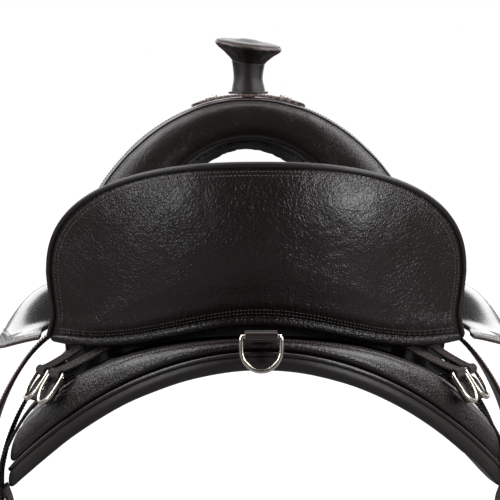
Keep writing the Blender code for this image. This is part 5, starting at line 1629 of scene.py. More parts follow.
def pommel_roll():
    """The padded roll: its cover is blown up, with soft folds across it and piping on both edges."""
    mesh = roll_cover()
    points = coordinates(mesh)
    along = get_value(mesh, "along")
    rear = smooth((0.35 - get_value(mesh, "around")) / 0.5)
    radius = np.hypot(points[:, 0], points[:, 2])
    stretched = np.stack([along * 26.0, points[:, 1] * 12.0, radius * 10.0], axis=1)
    out = ROLL_WAVE * lumps(points, 16.0, 12) + ROLL_RIPPLE * lumps(points, 60.0, 13)
    out = out + ROLL_FOLD * lumps(stretched, 1.0, 11) * smooth((np.abs(along) - 0.25) / 0.5)
    move_to(mesh, points + normals_of(mesh) * (out * rear)[:, None])
    add_piece("pommel_leather", mesh, SOFT_GRAIN, stands_for=["pommel_roll"], fill=0.9)
    tree = tree_of(mesh)
    for label, edge, depth, radius in ROLL_PIPINGS:
        line, _ = snapped(arch_line(edge, ROLL_REAR_Y + depth, 300, 0.012), tree)
        build("pommel_piping_" + label, [swept(finer(line[::4], 0.0016), radius)], SMOOTH)
        row = arch_line(mix(edge, 0.5, 0.09), ROLL_REAR_Y + depth - 0.005, 300, 0.02)
        stitch_on(tree, row, "black")


def arch_plate():
    front = ARCH_FRONT_Y - ARCH_PLATE_INSET
    corners = [(ARCH_PLATE_LOW, LAYERS_Y), (ARCH_PLATE_HIGH, LAYERS_Y)]
    corners += [(ARCH_PLATE_HIGH, front), (ARCH_PLATE_LOW, front)]
    parts = [loft(arch_rings(dense(corners, 3), 90))]
    build("arch_plate", parts, PLASTIC, stands_for=["pommel_arch"], sharp=50.0)


def pommel_cover():
    """The outer leather over the arch, sewn along both of its edges."""
    rear, front = LAYERS_Y, ARCH_FRONT_Y
    low = ARCH_PLATE_HIGH + ARCH_GAP
    ease = 0.25 * COVER_ROUND
    corners = [(low, rear), (0.88, rear), (0.97, rear + ease), (1.0, rear + COVER_ROUND)]
    corners += [(1.0, front - COVER_ROUND), (0.95, front - ease), (0.83, front), (low, front)]
    rings = arch_rings(closed_line(dense(corners, 3), COVER_POINTS), COVER_STEPS)
    mesh = mesh_from("pommel_cover_leather", [loft(rings)])
    points = coordinates(mesh)
    out = COVER_WAVE * lumps(points, 30.0, 20) - COVER_EASE
    move_to(mesh, points + normals_of(mesh) * out[:, None])
    add_piece("pommel_cover_leather", mesh, SMOOTH, stands_for=["pommel_cover"])
    tree = tree_of(mesh)
    for y, thread in ((rear + COVER_STITCH_INSET, "brown"), (front - COVER_STITCH_INSET, "black")):
        stitch_on(tree, arch_line(1.0, y, 300, 0.01), thread)


def gullet_lining():
    """Fleece under the arch, tufted, with loose fibres along its rear edge."""
    rear, front = LAYERS_Y, ARCH_FRONT_Y
    high = ARCH_PLATE_LOW - ARCH_GAP
    corners = [(0.0, rear), (high, rear), (high, front), (-LINING_DROP, front)]
    corners.append((-0.35 * LINING_DROP, mix(rear, front, 0.5)))
    rings = arch_rings(closed_line(dense(corners, 4), LINING_POINTS), LINING_STEPS)
    mesh = mesh_from("gullet_fleece", [loft(rings)])
    points = coordinates(mesh)
    tufts = LINING_TUFTS * lumps(points, 150.0, 21) + LINING_FUZZ * lumps(points, 300.0, 22)
    move_to(mesh, points + normals_of(mesh) * (tufts - 0.0002)[:, None])
    add_piece("gullet_fleece", mesh, FLEECE, stands_for=["gullet_lining"], fill=0.5)
    fleece_edge()


def fleece_edge():
    """Short curled fibres along the lining's rear edge and under it."""
    random.seed(5)
    parts = []
    for _ in range(FIBRES):
        along = random.uniform(-FIBRE_REACH, FIBRE_REACH)
        depth = abs(random.gauss(0.0, FIBRE_SPREAD))
        level = -0.02 - 0.35 * LINING_DROP * depth / 0.037
        turn = np.array(along * FIBRE_TURN)
        place = arch_point(np.array(level), np.array(LAYERS_Y + 0.0010 + depth), turn)
        length = random.uniform(0.0025, 0.0058)
        down = -unit(place * np.array([1.0, 0.0, 1.0]))
        lean = np.array([random.gauss(0.0, 0.45), random.gauss(-0.45, 0.35), random.gauss(0.0, 0.45)])
        aim = unit(down + lean)
        bend = unit(np.cross(aim, np.array([random.gauss(0, 1) for _ in range(3)])))
        share = np.linspace(0.0, 1.0, 5)[:, None]
        line = place + aim * length * share + bend * (0.35 * length * share ** 2)
        size = FIBRE_RADIUS * (1.1 - share[:, 0])
        parts.append(swept(line, size, 3, facing=tuple(bend), tapered=False))
    add_piece("fleece_fibres", mesh_from("fleece_fibres", parts, outward=False), FLEECE)


# Horn

HORN_LOW = COLLAR_TOP + GAP
GUSSETS = (-150.0, -25.0, 25.0, 155.0)
GUSSET_STITCH = 0.07
GUSSET_DEPTH = 0.0009
CAP_SIDES = 96
NECK_SIDES = 72
HORN_WAVE = 0.0005
WRAP_LAP = 0.0009
FOOT_BEAD = 0.0014
PUCKERS = 17.0
PUCKER_DEPTH = 0.0004


def horn_shear(points):
    to_side = points[..., 0] * math.tan(math.radians(HORN_LEAN_X))
    return points[..., 1] * math.tan(math.radians(HORN_LEAN_Y)) - to_side


def horn_place(points, low):
    return points + np.array([0.0, HORN_Y, low])


def on_cap(points):
    """Points of the upright cap, tilted and put in their place."""
    points[..., 2] += horn_shear(points)
    return horn_place(points, HORN_NECK_TOP_Z)


def revolved(profile, sides):
    turns = 2.0 * np.pi * np.arange(sides) / sides
    return np.stack([
        profile[:, :1] * np.cos(turns)[None, :],
        profile[:, :1] * np.sin(turns)[None, :],
        np.repeat(profile[:, 1:2], sides, axis=1),
    ], axis=-1)


def ring_of(radius, height, count):
    turn = full_turn(count)
    return np.stack([radius * np.cos(turn), radius * np.sin(turn), np.full(count, height)], axis=1)


def horn_neck():
    """The leather-wrapped neck, with the wrap's lapped edge."""
    span = HORN_NECK_TOP_Z - HORN_LOW
    profile = [
        (HORN_NECK_RADIUS + HORN_FOOT_FLARE, 0.0),
        (HORN_NECK_RADIUS + 0.0004, 0.06 * span),
        (HORN_NECK_RADIUS, 0.14 * span),
        (mix(HORN_NECK_RADIUS, HORN_NECK_WAIST, 0.8), 0.38 * span),
        (HORN_NECK_WAIST, 0.55 * span),
        (mix(HORN_NECK_RADIUS, HORN_NECK_WAIST, 0.6), 0.80 * span),
        (HORN_NECK_RADIUS, span),
    ]
    rings = revolved(finer(np.array(profile), 0.0010), NECK_SIDES)
    turn = np.arctan2(rings[..., 1], rings[..., 0])
    rings[..., 2] += horn_shear(rings) * smooth(rings[..., 2] / span)
    rings = horn_place(rings, HORN_LOW)
    away = unit(rings - rings.mean(axis=1, keepdims=True))
    wave = HORN_WAVE * lumps(rings, 45.0, 31) + 0.0002 * lumps(rings, 130.0, 32)
    lap = smooth((turn - math.radians(-52.0)) / 0.05) * smooth((math.radians(-20.0) - turn) / 0.3)
    rings = rings + away * (wave + WRAP_LAP * lap - 0.0004)[..., None]
    build("horn_wrap", [loft(rings)], DULL, stands_for=["horn_neck"])


def horn_cap():
    """The cap: gusset seams with puckers between them, worn along its rim and its seams."""
    lip = HORN_LIP_Z - HORN_NECK_TOP_Z
    profile = finer(np.array([
        (HORN_NECK_RADIUS - 0.0030, GAP),
        (HORN_NECK_RADIUS, GAP),
        (HORN_NECK_RADIUS + HORN_CAP_ROUND, 0.22 * lip),
        (mix(HORN_NECK_RADIUS, HORN_CAP_RADIUS, 0.50), 0.55 * lip),
        (HORN_CAP_RADIUS - HORN_CAP_ROUND, 0.80 * lip),
        (HORN_CAP_RADIUS, lip),
        (HORN_CAP_RADIUS - 0.4 * HORN_CAP_ROUND, lip + HORN_CAP_ROUND),
        (HORN_CAP_RADIUS - 2.0 * HORN_CAP_ROUND, lip + 1.7 * HORN_CAP_ROUND),
        (HORN_CAP_RADIUS * 0.50, lip + 0.75 * HORN_CAP_CROWN),
        (HORN_CAP_RADIUS * 0.20, lip + HORN_CAP_CROWN),
        (0.0010, lip + HORN_CAP_CROWN),
    ]), 0.0010)
    radius, height = profile[:, :1], profile[:, 1:]
    rings = on_cap(revolved(profile, CAP_SIDES))
    flare = smooth((radius - HORN_NECK_RADIUS) / 0.006) * (height < lip)
    turn = 2.0 * np.pi * np.arange(CAP_SIDES)[None, :] / CAP_SIDES
    puckers = PUCKER_DEPTH * np.sin(turn * PUCKERS + 2.0 * lumps(rings, 40.0, 34)) * flare
    rim = 0.7 * hump(height, lip + 0.6 * HORN_CAP_ROUND, 0.0016) * (radius > 0.9 * HORN_CAP_RADIUS)
    wear = np.repeat(rim, CAP_SIDES, axis=1)
    seams = 0.0
    for place in GUSSETS:
        off = np.angle(np.exp(1j * (turn - math.radians(place))))
        seams = seams + GUSSET_DEPTH * hump(off, 0.0, 0.05)
        wear = np.maximum(wear, 0.9 * hump(off, 0.0, 0.11) * flare)
    away = rings - rings.mean(axis=1, keepdims=True)
    away[..., 2] = 0.0
    out = HORN_WAVE * lumps(rings, 45.0, 33) + puckers - seams * flare
    rings = rings + unit(away) * out[..., None]
    mesh = build("horn_cap_leather", [loft(rings)], SOFT_GRAIN, stands_for=["horn_cap"])
    set_value(mesh, "wear", np.concatenate([wear.ravel(), (0.0, 0.0)]))
    tree = tree_of(mesh)
    under = (profile[:, 1] > 0.10 * lip) & (profile[:, 1] < 0.93 * lip)
    low_part = profile[under & (profile[:, 0] > HORN_NECK_RADIUS)]
    for place in GUSSETS:
        for step in (-GUSSET_STITCH, GUSSET_STITCH):
            angle = math.radians(place) + step
            across = low_part[:, 0]
            line = np.stack([across * math.cos(angle), across * math.sin(angle), low_part[:, 1]], axis=1)
            stitch_on(tree, on_cap(line), "brown", pitch=CLOSE_PITCH)
    rim = ring_of(0.93 * HORN_CAP_RADIUS, lip + HORN_CAP_ROUND, 160)
    stitch_on(tree, on_cap(rim), "brown", closed=True)


def horn_foot():
    foot = horn_place(ring_of(HORN_NECK_RADIUS + 0.002, 0.0, 120), HORN_LOW + 0.0012)
    build("horn_foot_bead", [swept(foot, FOOT_BEAD, 10, closed=True, facing=Z_AXIS)], DULL)


def collar_point(x, y, lift):
    turn = np.arcsin(x / ARCH_OUTER_HALF)
    return arch_point(1.0 + lift / (ARCH_OUTER_TOP - ARCH_INNER_TOP), y, turn)


def horn_collar():
    """Thin leather plate round the horn's foot, with a scalloped edge."""
    half_depth = 0.5 * COLLAR_DEPTH
    u = np.linspace(-1.0, 1.0, 120)[:, None]
    v = np.linspace(-1.0, 1.0, 70)[None, :]
    x = u * COLLAR_HALF_WIDTH * (1.0 - 0.16 * np.abs(v) ** 2.5)
    y = HORN_Y + v * half_depth * (1.0 - 0.12 * np.abs(u) ** 2 + 0.015 * np.cos(u * 40.0))
    inside = np.minimum((1.0 - np.abs(u)) * COLLAR_HALF_WIDTH, (1.0 - np.abs(v)) * half_depth)
    thick = COLLAR_THICKNESS * mix(0.35, 1.0, roll_off(inside, 0.0016))
    wave = 0.0005 * lumps(np.stack([x, y, 0.0 * x], axis=-1), 40.0, 41)
    low = collar_point(x, y, GAP + 0.0 * x)
    high = collar_point(x, y, GAP + thick + wave * smooth(inside / 0.01))
    parts = [closed_sheet(high, low)]
    mesh = build("horn_collar_leather", parts, SMOOTH, stands_for=["horn_collar"], sharp=60.0)
    wear = 0.85 * (1.0 - smooth(inside / 0.0022))
    set_value(mesh, "wear", np.concatenate([wear.ravel(), wear.ravel()]))
    turn = full_turn(300)
    scale = 0.90 / round_square(np.cos(turn), np.sin(turn), 6)
    x = scale * np.cos(turn) * COLLAR_HALF_WIDTH * 0.93
    y = HORN_Y + scale * np.sin(turn) * half_depth * 0.90
    stitch_on(tree_of(mesh), collar_point(x, y, 0.004 + 0.0 * x), "brown", closed=True, pitch=0.0040)


ROSETTE_PETALS = 10.0
ROSETTE_SIDES = 80
ROSETTE_RADII = (1.0, 1.02, 0.97, 0.86, 0.72, 0.60, 0.52, 0.44, 0.30, 0.12, 0.01)
ROSETTE_LEVELS = (0.0, 0.25, 0.48, 0.60, 0.56, 0.46, 0.44, 0.70, 0.92, 1.0, 1.01)


def rosette(side, name):
    """Small flower head with a domed middle and ten petals."""
    turn = side * math.asin(ROSETTE_X / ARCH_OUTER_HALF)
    spot = arch_point(1.0, HORN_Y - ROSETTE_SETBACK, np.array(turn))
    spot[2] += GAP + COLLAR_THICKNESS + LAYER_GAP
    slope = math.atan2(spot[0] * ARCH_OUTER_TOP ** 2, spot[2] * ARCH_OUTER_HALF ** 2)
    profile = np.column_stack([ROSETTE_RADII, ROSETTE_LEVELS]) * (ROSETTE_RADIUS, ROSETTE_HEIGHT)
    rings = revolved(finer(profile, 0.00035), ROSETTE_SIDES)
    turns = 2.0 * np.pi * np.arange(ROSETTE_SIDES)[None, :] / ROSETTE_SIDES
    petals = np.cos(ROSETTE_PETALS * turns)
    away = np.hypot(rings[..., 0], rings[..., 1]) / ROSETTE_RADIUS
    rings[..., :2] *= (1.0 + 0.07 * petals * smooth((away - 0.5) / 0.3))[..., None]
    rings[..., 2] += 0.0003 * petals * hump(away, 0.82, 0.15)
    x, y, z = rings[..., 0], rings[..., 1], rings[..., 2]
    c, s = math.cos(slope), math.sin(slope)
    turned = np.stack([x * c + z * s, y, z * c - x * s], axis=-1)
    build(name + "_flower", [loft(turned + spot)], NICKEL, stands_for=[name])


# Seat jockeys

JOCKEY_ROWS = 240
JOCKEY_COLUMNS = 90
JOCKEY_STITCH_INSET = 0.0165
JOCKEY_WAVE = 0.0006
BURNISHED = 0.0016
SEAT_V = np.linspace(0.0, 1.0, 500)
SEAT_SIDE_Y = seat_top(np.ones_like(SEAT_V), SEAT_V)[:, 1]


def jockey_rise(y):
    return smooth((y - JOCKEY_REAR_Y - JOCKEY_TAB) / (JOCKEY_RISE - JOCKEY_TAB))


def jockey_edge(y):
    """The inner edge: round the cantle's corner at the rear, then along the seat's side."""
    v = np.interp(y, SEAT_SIDE_Y, SEAT_V)
    corner = CANTLE_CORNER_HALF + RIM_RADIUS + LAYER_GAP
    corner_y = cantle_y(CANTLE_CORNER_HALF, CANTLE_CORNER_Z) + 2.0 * RIM_RADIUS
    x = mix(corner + HANG_GAP, seat_half(v) + HANG_GAP, smooth((y - corner_y) / JOCKEY_TURN))
    z = mix(JOCKEY_REAR_Z, seat_side_z(v) - JOCKEY_UNDER_SEAT, jockey_rise(y))
    return x, z


def jockey_surface(y, share):
    inner_x, inner_z = jockey_edge(y)
    middle = 0.5 * (JOCKEY_REAR_Y + JOCKEY_FRONT_Y)
    ease = np.where(y < middle, jockey_rise(y), 1.0)
    forward = np.where(y < middle, 0.0, smooth((y - middle) / (JOCKEY_FRONT_Y - middle)))
    reach = mix(mix(JOCKEY_REAR_REACH, JOCKEY_MID_REACH, ease), JOCKEY_FRONT_REACH, forward)
    drop = mix(mix(JOCKEY_REAR_DROP, JOCKEY_MID_DROP, ease), JOCKEY_FRONT_DROP, forward)
    curl = mix(JOCKEY_REAR_CURL, JOCKEY_CURL, ease)
    from_end = np.minimum(y - JOCKEY_REAR_Y, JOCKEY_FRONT_Y - y)
    corner = roll_off(np.maximum(from_end, 0.0), JOCKEY_CORNER)
    x = mix(inner_x, mix(inner_x + JOCKEY_END_WIDTH, reach, corner), share)
    z = inner_z - drop * ((x - inner_x) / (reach - inner_x)) ** curl
    return np.stack([x, y + 0.0 * x, z], axis=-1)


def border_places(top):
    """For each point of a grid, the nearest place along its outline, and the distance to it."""
    outline = np.concatenate([top[0], top[1:-1, -1], top[-1][::-1]])
    outline = evenly(outline, 1400, closed=False)
    along = distances_along(outline)
    found = KDTree(len(outline))
    for k, point in enumerate(outline):
        found.insert(point, k)
    found.balance()
    near = [found.find(Vector(p)) for p in top.reshape(-1, 3)]
    distance = np.array([n[2] for n in near]).reshape(top.shape[:2])
    return np.array([along[n[1]] for n in near]).reshape(top.shape[:2]), distance


def jockey(side, name):
    """Side leather with a stamped border, burnished edges and a sewn line inside the border."""
    spread = 0.5 - 0.5 * np.cos(np.pi * np.linspace(0.0, 1.0, JOCKEY_ROWS))
    y = mix(JOCKEY_REAR_Y, JOCKEY_FRONT_Y, spread)[:, None]
    share = np.linspace(0.0, 1.0, JOCKEY_COLUMNS)[None, :] ** 0.9
    top = jockey_surface(y, share)
    across = jockey_surface(y, share + 0.01) - top
    slope = np.linalg.norm(across, axis=-1) / np.maximum(across[..., 0], 1e-6)
    thick = JOCKEY_THICKNESS * np.minimum(slope, JOCKEY_SLOPE_LIMIT)
    place, distance = border_places(top)
    edge = roll_off(distance, BURNISHED)
    wave = JOCKEY_WAVE * lumps(top, 20.0, 51) * smooth(distance / 0.03)
    high = top.copy()
    high[..., 2] += wave - 0.5 * thick * (1.0 - edge)
    low = top.copy()
    low[..., 2] -= mix(0.55, 1.0, edge) * thick
    for grid in (high, low):
        grid[..., 0] *= side
    parts = [closed_sheet(high, low)]
    mesh = build(name + "_leather", parts, TOOLED, stands_for=[name], sharp=70.0)
    values = np.stack([place, distance], axis=-1).reshape(-1, 2)
    set_uv(mesh, np.concatenate([values, values + np.array([0.0, 0.05])]))
    wear = 0.8 * (1.0 - smooth(distance / BURNISHED)).ravel()
    set_value(mesh, "wear", np.concatenate([wear, wear]))
    line = []
    for k in range(0, JOCKEY_ROWS, 2):
        spots = np.nonzero(distance[k] > JOCKEY_STITCH_INSET)[0]
        if len(spots) and spots[-1] < JOCKEY_COLUMNS - 1:
            line.append(high[k, spots[-1]])
    stitch_on(tree_of(mesh), finer(np.array(line)[4:-4], 0.002), "black")


# Straps

STRAP_STEP = 0.0009
LONG_STRAP_STEP = 0.0015
STRAP_MARGIN = 0.002
FOLD_ROWS = (0.34, 0.385)


class Band:
    """A frame ribbon rebuilt as a strap with eased edges, which can be sewn along and across."""

    def __init__(self, node, across, look=None, body="saddle", step=STRAP_STEP, square=STRAP_SQUARE):
        path, self.thickness = ribbon_of(node, across)
        self.line = finer(path, step)
        self.body = body
        self.across = unit(np.array(across, dtype=float))
        places, widths = self.line[:, :3], self.line[:, 3]
        mesh, self.normal = strap_mesh(node + "_band", places, across, widths, self.thickness, square)
        add_piece(node + "_band", mesh, look or WEBBING, body, stands_for=[node])

    def at(self, share):
        return int(share * (len(self.line) - 1))

    def sew_edges(self, part, inset, thread, outer=1.0, pitch=STITCH_PITCH):
        """A row of stitches along both edges of a stretch of the strap."""
        for sign in (-1.0, 1.0):
            offset = (0.5 * self.line[part, 3] - inset)[:, None] * sign * self.across
            row = self.line[part, :3] + offset + self.normal[part] * (0.5 * self.thickness * outer)
            stitch(row, self.normal[part] * outer, thread, self.body, pitch=pitch)

    def sew_across(self, k, thread, outer=1.0, margin=STRAP_MARGIN):
        half = 0.5 * self.line[k, 3] - margin
        ends = np.linspace(-half, half, 12)[:, None] * self.across
        row = self.line[k, :3] + ends + self.normal[k] * (0.5 * self.thickness * outer)
        normals = np.repeat(self.normal[k : k + 1] * outer, 12, axis=0)
        stitch(row, normals, thread, self.body, pitch=CROSS_PITCH)


def folded_strap(node, across):
    """Webbing folded over a ring: sewn along its edges and twice across the fold."""
    band = Band(node, across)
    count = len(band.line)
    outer = 1.0 if band.normal[int(0.15 * count), 2] > 0.0 else -1.0
    for place in FOLD_ROWS:
        band.sew_across(band.at(place), "brown", outer)
    part = slice(int(0.05 * count), int(FOLD_ROWS[1] * count))
    band.sew_edges(part, 0.0018, "brown", outer, CLOSE_PITCH)


# Rings

SMALL_DEE = (0.0245, 0.031)
CENTRE_DEE = (0.0355, 0.031)
RIGGING_RING = (0.052, 0.056)
RIGGING_WIRE = 0.003
SIDE_DEES = (("inner", 0.187, -0.1686895), ("outer", 0.2015443, -0.1424509))
SIDE_DEE_Z = -0.0155
BACKING_TURN = 61.0
FRONT_DEE_PLACE = (0.118, 0.312194, 0.0318341)
CENTRE_DEE_PLACE = (0.0, -0.2795, 0.0315)
RIGGING_PLACE = (0.243, -0.085, -0.168)
RIGGING_SEWN_Z = -0.118


def dee_line(size, wire, bar, up, place):
    """Centre line of a D-ring: a straight bar with round corners and a deep bow."""
    half, height = 0.5 * size[0], size[1]
    corner = 1.6 * wire
    straight = -0.38 * height
    turns = [math.radians(30.0 * k) for k in range(4)]
    points = [(half - corner + corner * math.sin(t), corner * math.cos(t) - corner) for t in turns]
    for k in range(11):
        turn = math.pi * k / 10
        points.append((half * math.cos(turn), straight - (height + straight) * math.sin(turn)))
    points += [(corner - half - corner * math.sin(t), corner * math.cos(t) - corner) for t in turns[::-1]]
    flat = np.array(points)
    line = np.asarray(place) + flat[:, :1] * np.asarray(bar) + flat[:, 1:] * np.asarray(up)
    return finer(line, 0.0012, closed=True)


def dee(node, size, bar, up, place, wire=DEE_WIRE):
    """A ring of wire on a body of its own name."""
    line = dee_line(size, wire, bar, up, place)
    parts = [swept(line, wire, 16, closed=True, facing=tuple(np.cross(bar, up)))]
    build(node + "_wire", parts, NICKEL, body=node, stands_for=[node])


def side_bar(degrees, side):
    turn = math.radians(degrees)
    return np.array([side * math.cos(turn), math.sin(turn), 0.0])


def side_rings(side, label):
    """Two D-rings on folded straps, and the leather flap under them."""
    lean = math.radians(SIDE_DEE_LEAN)
    for degrees, (part, x, y) in zip(SIDE_DEE_TURN, SIDE_DEES):
        bar = side_bar(degrees, side)
        inward = np.array([-side * bar[1], side * bar[0], 0.0])
        up = np.array([0.0, 0.0, math.cos(lean)]) + inward * math.sin(lean)
        dee(f"side_dee_{part}_{label}", SMALL_DEE, bar, up, (side * x, y, SIDE_DEE_Z))
        folded_strap(f"side_strap_{part}_{label}", bar)
    bar = side_bar(BACKING_TURN, side)
    band = Band("strap_backing_" + label, bar, DULL, step=LONG_STRAP_STEP, square=0.35)
    outer = -1.0 if band.normal[len(band.line) // 2, 1] > 0.0 else 1.0
    band.sew_edges(slice(2, len(band.line) - 2), 0.0028, "black", outer)
    band.sew_across(band.at(0.93), "black", outer, 0.003)


def front_ring(side, label):
    x, y, z = FRONT_DEE_PLACE
    dee("front_dee_" + label, SMALL_DEE, X_AXIS, Z_AXIS, (side * x, y, z))
    folded_strap("front_strap_" + label, X_AXIS)


def centre_ring():
    dee("centre_dee", CENTRE_DEE, X_AXIS, Z_AXIS, CENTRE_DEE_PLACE)
    folded_strap("centre_tab", X_AXIS)


def rigging(side, label):
    """The cinch ring on its strap, with a sewn box above the ring."""
    x, y, z = RIGGING_PLACE
    dee("rigging_ring_" + label, RIGGING_RING, Y_AXIS, Z_AXIS, (side * x, y, z), RIGGING_WIRE)
    band = Band("rigging_strap_" + label, Y_AXIS, step=LONG_STRAP_STEP)
    count = len(band.line)
    outer = 1.0 if band.normal[int(0.66 * count), 0] * side > 0.0 else -1.0
    rows = [k for k in range(int(0.80 * count)) if band.line[k, 2] < RIGGING_SEWN_Z]
    part = slice(rows[0], rows[0] + max(int(0.6 * len(rows)), 6))
    band.sew_edges(part, 0.0030, "brown", outer)
    for k in (part.start, part.stop - 1):
        band.sew_across(k, "brown", outer, 0.003)


# Fenders and stirrups

FENDER_EDGE = 0.0018
FENDER_WAVE = 0.0011
FENDER_CREASE = 0.0005
FENDER_CREASE_AT = 0.0115
FENDER_STITCH_INSETS = (0.0055, 0.0085)
HOBBLE_WALL = 0.0025
HOBBLE_CORNER = 0.004
HOBBLE_STITCH_LIFT = 0.0085
BUCKLE_WIRE = 0.0019
BUCKLE_INSET = 0.0022
BUCKLE_CORNER = 0.0045
TONGUE_WIRE = 0.0012
TREAD_EDGE = 0.0022
TREAD_RIB = 0.0006
TREAD_RIB_PITCH = 0.0062
BOLT_SIDES = 40


def stirrup_ring(side, label):
    turn = full_turn(90)
    flat = np.stack([np.zeros(len(turn)), RING_RADIUS * np.cos(turn), RING_RADIUS * np.sin(turn)], axis=1)
    parts = [swept(flat + (side * RING_X, RING_Y, RING_Z), RING_WIRE, 16, closed=True, facing=X_AXIS)]
    build(f"stirrup_ring_{label}_wire", parts, NICKEL, stands_for=["stirrup_ring_" + label])
    band = Band("ring_strap_" + label, Y_AXIS)
    band.sew_edges(slice(band.at(0.06), band.at(0.22)), 0.0020, "brown", pitch=CLOSE_PITCH)


def fender(side, label):
    """Broad leather leaf: sewn double along its edge, gently waving, with burnished edges."""
    node = "fender_" + label
    path, thickness = ribbon_of(node, Y_AXIS)
    fine = finer(path, 0.0022)
    places = fine[:, :3]
    across = np.array(Y_AXIS)
    normal = unit(np.cross(tangents(places), across))
    normal = normal * (1.0 if normal[len(fine) // 2, 0] * side > 0.0 else -1.0)
    over = 0.5 * fine[:, 3:4] * np.sin(0.5 * np.pi * np.linspace(-1.0, 1.0, 72))[None, :]
    along = distances_along(fine)
    from_end = np.minimum(along, along[-1] - along)[:, None]
    inset = np.minimum(0.5 * fine[:, 3:4] - np.abs(over), from_end)
    base = places[:, None] + across * over[..., None]
    half = 0.5 * thickness
    thick = half * mix(0.3, 1.0, roll_off(inset, FENDER_EDGE))
    wave = FENDER_WAVE * lumps(base, 14.0, 61) * smooth(inset / 0.03)
    crease = FENDER_CREASE * hump(inset, FENDER_CREASE_AT, 0.0009)
    high = base + normal[:, None] * (thick + wave - crease)[..., None]
    low = base + normal[:, None] * (wave - thick)[..., None]
    parts = [closed_sheet(high, low)]
    mesh = build(node + "_leather", parts, SMOOTH, body=node, stands_for=[node], sharp=70.0)
    wear = (0.75 * (1.0 - smooth(inset / FENDER_EDGE))).ravel()
    set_value(mesh, "wear", np.concatenate([wear, wear]))
    part = slice(4, len(fine) - 3)
    for inner in FENDER_STITCH_INSETS:
        for sign in (-1.0, 1.0):
            offset = sign * (0.5 * fine[part, 3] - inner)
            line = places[part] + across * offset[:, None] + normal[part] * (half + 0.0001)
            stitch(line, normal[part], "black", node)


def rounded_loop(low, high, corner, steps):
    """A rectangle in the plane with round corners, from two of its corners."""
    points = []
    right, top, left, bottom = high[0] - corner, high[1] - corner, low[0] + corner, low[1] + corner
    for number, (x, y) in enumerate(((right, top), (left, top), (left, bottom), (right, bottom))):
        for k in range(steps):
            turn = 0.5 * math.pi * (number + k / (steps - 1))
            points.append((x + corner * math.cos(turn), y + corner * math.sin(turn)))
    return np.array(points)


def hobble(label):
    """The leather loop round the leather and the fender's tail."""
    node = "hobble_strap_" + label
    body = "fender_" + label
    low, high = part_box(node)
    half = 0.5 * HOBBLE_WALL
    loop = rounded_loop((low.x + half, low.y + half), (high.x - half, high.y - half), HOBBLE_CORNER, 5)
    line = evenly(np.column_stack([loop, np.full(len(loop), 0.5 * (low.z + high.z))]), 150)
    widths = np.full(len(line), high.z - low.z)
    rings, _, normal = strap_rings(line, Z_AXIS, widths, HOBBLE_WALL, closed=True)
    parts = [loft(rings, closed=True)]
    build(node + "_leather", parts, SMOOTH, body=body, stands_for=[node])
    away = unit((line - line.mean(axis=0)) * np.array([1.0, 1.0, 0.0]))
    normal = normal * np.sign((normal * away).sum(axis=1))[:, None]
    for lift in (-HOBBLE_STITCH_LIFT, HOBBLE_STITCH_LIFT):
        row = line + normal * half + np.array([0.0, 0.0, lift])
        stitch(row, normal, "black", body, closed=True)


def buckle(side, label):
    node = "leather_buckle_" + label
    low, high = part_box(node)
    x = 0.5 * (low.x + high.x)
    top, bottom = high.z - BUCKLE_INSET, low.z + BUCKLE_INSET
    inner, outer = (low.y + BUCKLE_INSET, bottom), (high.y - BUCKLE_INSET, top)
    loop = rounded_loop(inner, outer, BUCKLE_CORNER, 6)
    line = evenly(np.column_stack([np.full(len(loop), x), loop]), 120)
    tongue = [(x, RING_Y, top), (x - side * 0.0012, RING_Y, mix(top, bottom, 0.5))]
    tongue = finer(np.array(tongue + [(x, RING_Y, bottom - 0.0015)]), 0.001)
    parts = [swept(line, BUCKLE_WIRE, closed=True, facing=X_AXIS, flat=0.62)]
    parts.append(swept(tongue, TONGUE_WIRE, 10, flat=0.8))
    build(node + "_frame", parts, NICKEL, body="fender_" + label, stands_for=[node])


def stirrup_leather(label):
    band = Band("stirrup_leather_" + label, Y_AXIS, body="fender_" + label, step=0.0016)
    part = slice(int(0.10 * len(band.line)), int(0.62 * len(band.line)))
    for outer in (-1.0, 1.0):
        band.sew_edges(part, 0.0030, "brown", outer)


def stirrup_path():
    knee = STIRRUP_HEIGHT - STIRRUP_CORNER
    half = [(0.0, STIRRUP_TOP_HALF, STIRRUP_EAR)]
    for share in np.linspace(0.0, 1.0, 6):
        y = mix(STIRRUP_TOP_HALF, STIRRUP_BASE_HALF, float(smooth(share)) ** 0.5)
        half.append((0.0, y, mix(-STIRRUP_EAR, -knee, share)))
    for k in range(1, 4):
        turn = math.radians(30.0 * k)
        y = STIRRUP_BASE_HALF - STIRRUP_CORNER * (1.0 - math.cos(turn))
        half.append((0.0, y, -knee - STIRRUP_CORNER * math.sin(turn)))
    return np.array(half + [(0.0, -y, z) for _, y, z in reversed(half)])


def stirrup_bow(place, label):
    """The leather-covered bow, sewn along both edges."""
    body = "stirrup_" + label
    line = finer(stirrup_path(), 0.0022)
    widths = mix(STIRRUP_TOP_DEPTH, STIRRUP_BASE_DEPTH, smooth(-line[:, 2] / STIRRUP_HEIGHT))
    mesh, normal = strap_mesh("stirrup_bow", line + place, X_AXIS, widths, STIRRUP_WALL, square=0.5)
    points = coordinates(mesh)
    move_to(mesh, points + normals_of(mesh) * (0.0004 * lumps(points, 40.0, 71) - 0.0002)[:, None])
    add_piece(f"stirrup_bow_{label}_leather", mesh, SMOOTH, body, stands_for=["stirrup_bow_" + label])
    away = (line - np.array([0.0, 0.0, -0.07])) * np.array([0.0, 1.0, 1.0])
    normal = normal * np.sign((normal * away).sum(axis=1))[:, None]
    for edge in (-1.0, 1.0):
        offset = (0.5 * widths - 0.0038)[:, None] * edge * np.array(X_AXIS)
        row = line + place + offset + normal * (0.5 * STIRRUP_WALL)
        stitch(row[3:-3], normal[3:-3], "brown", body)


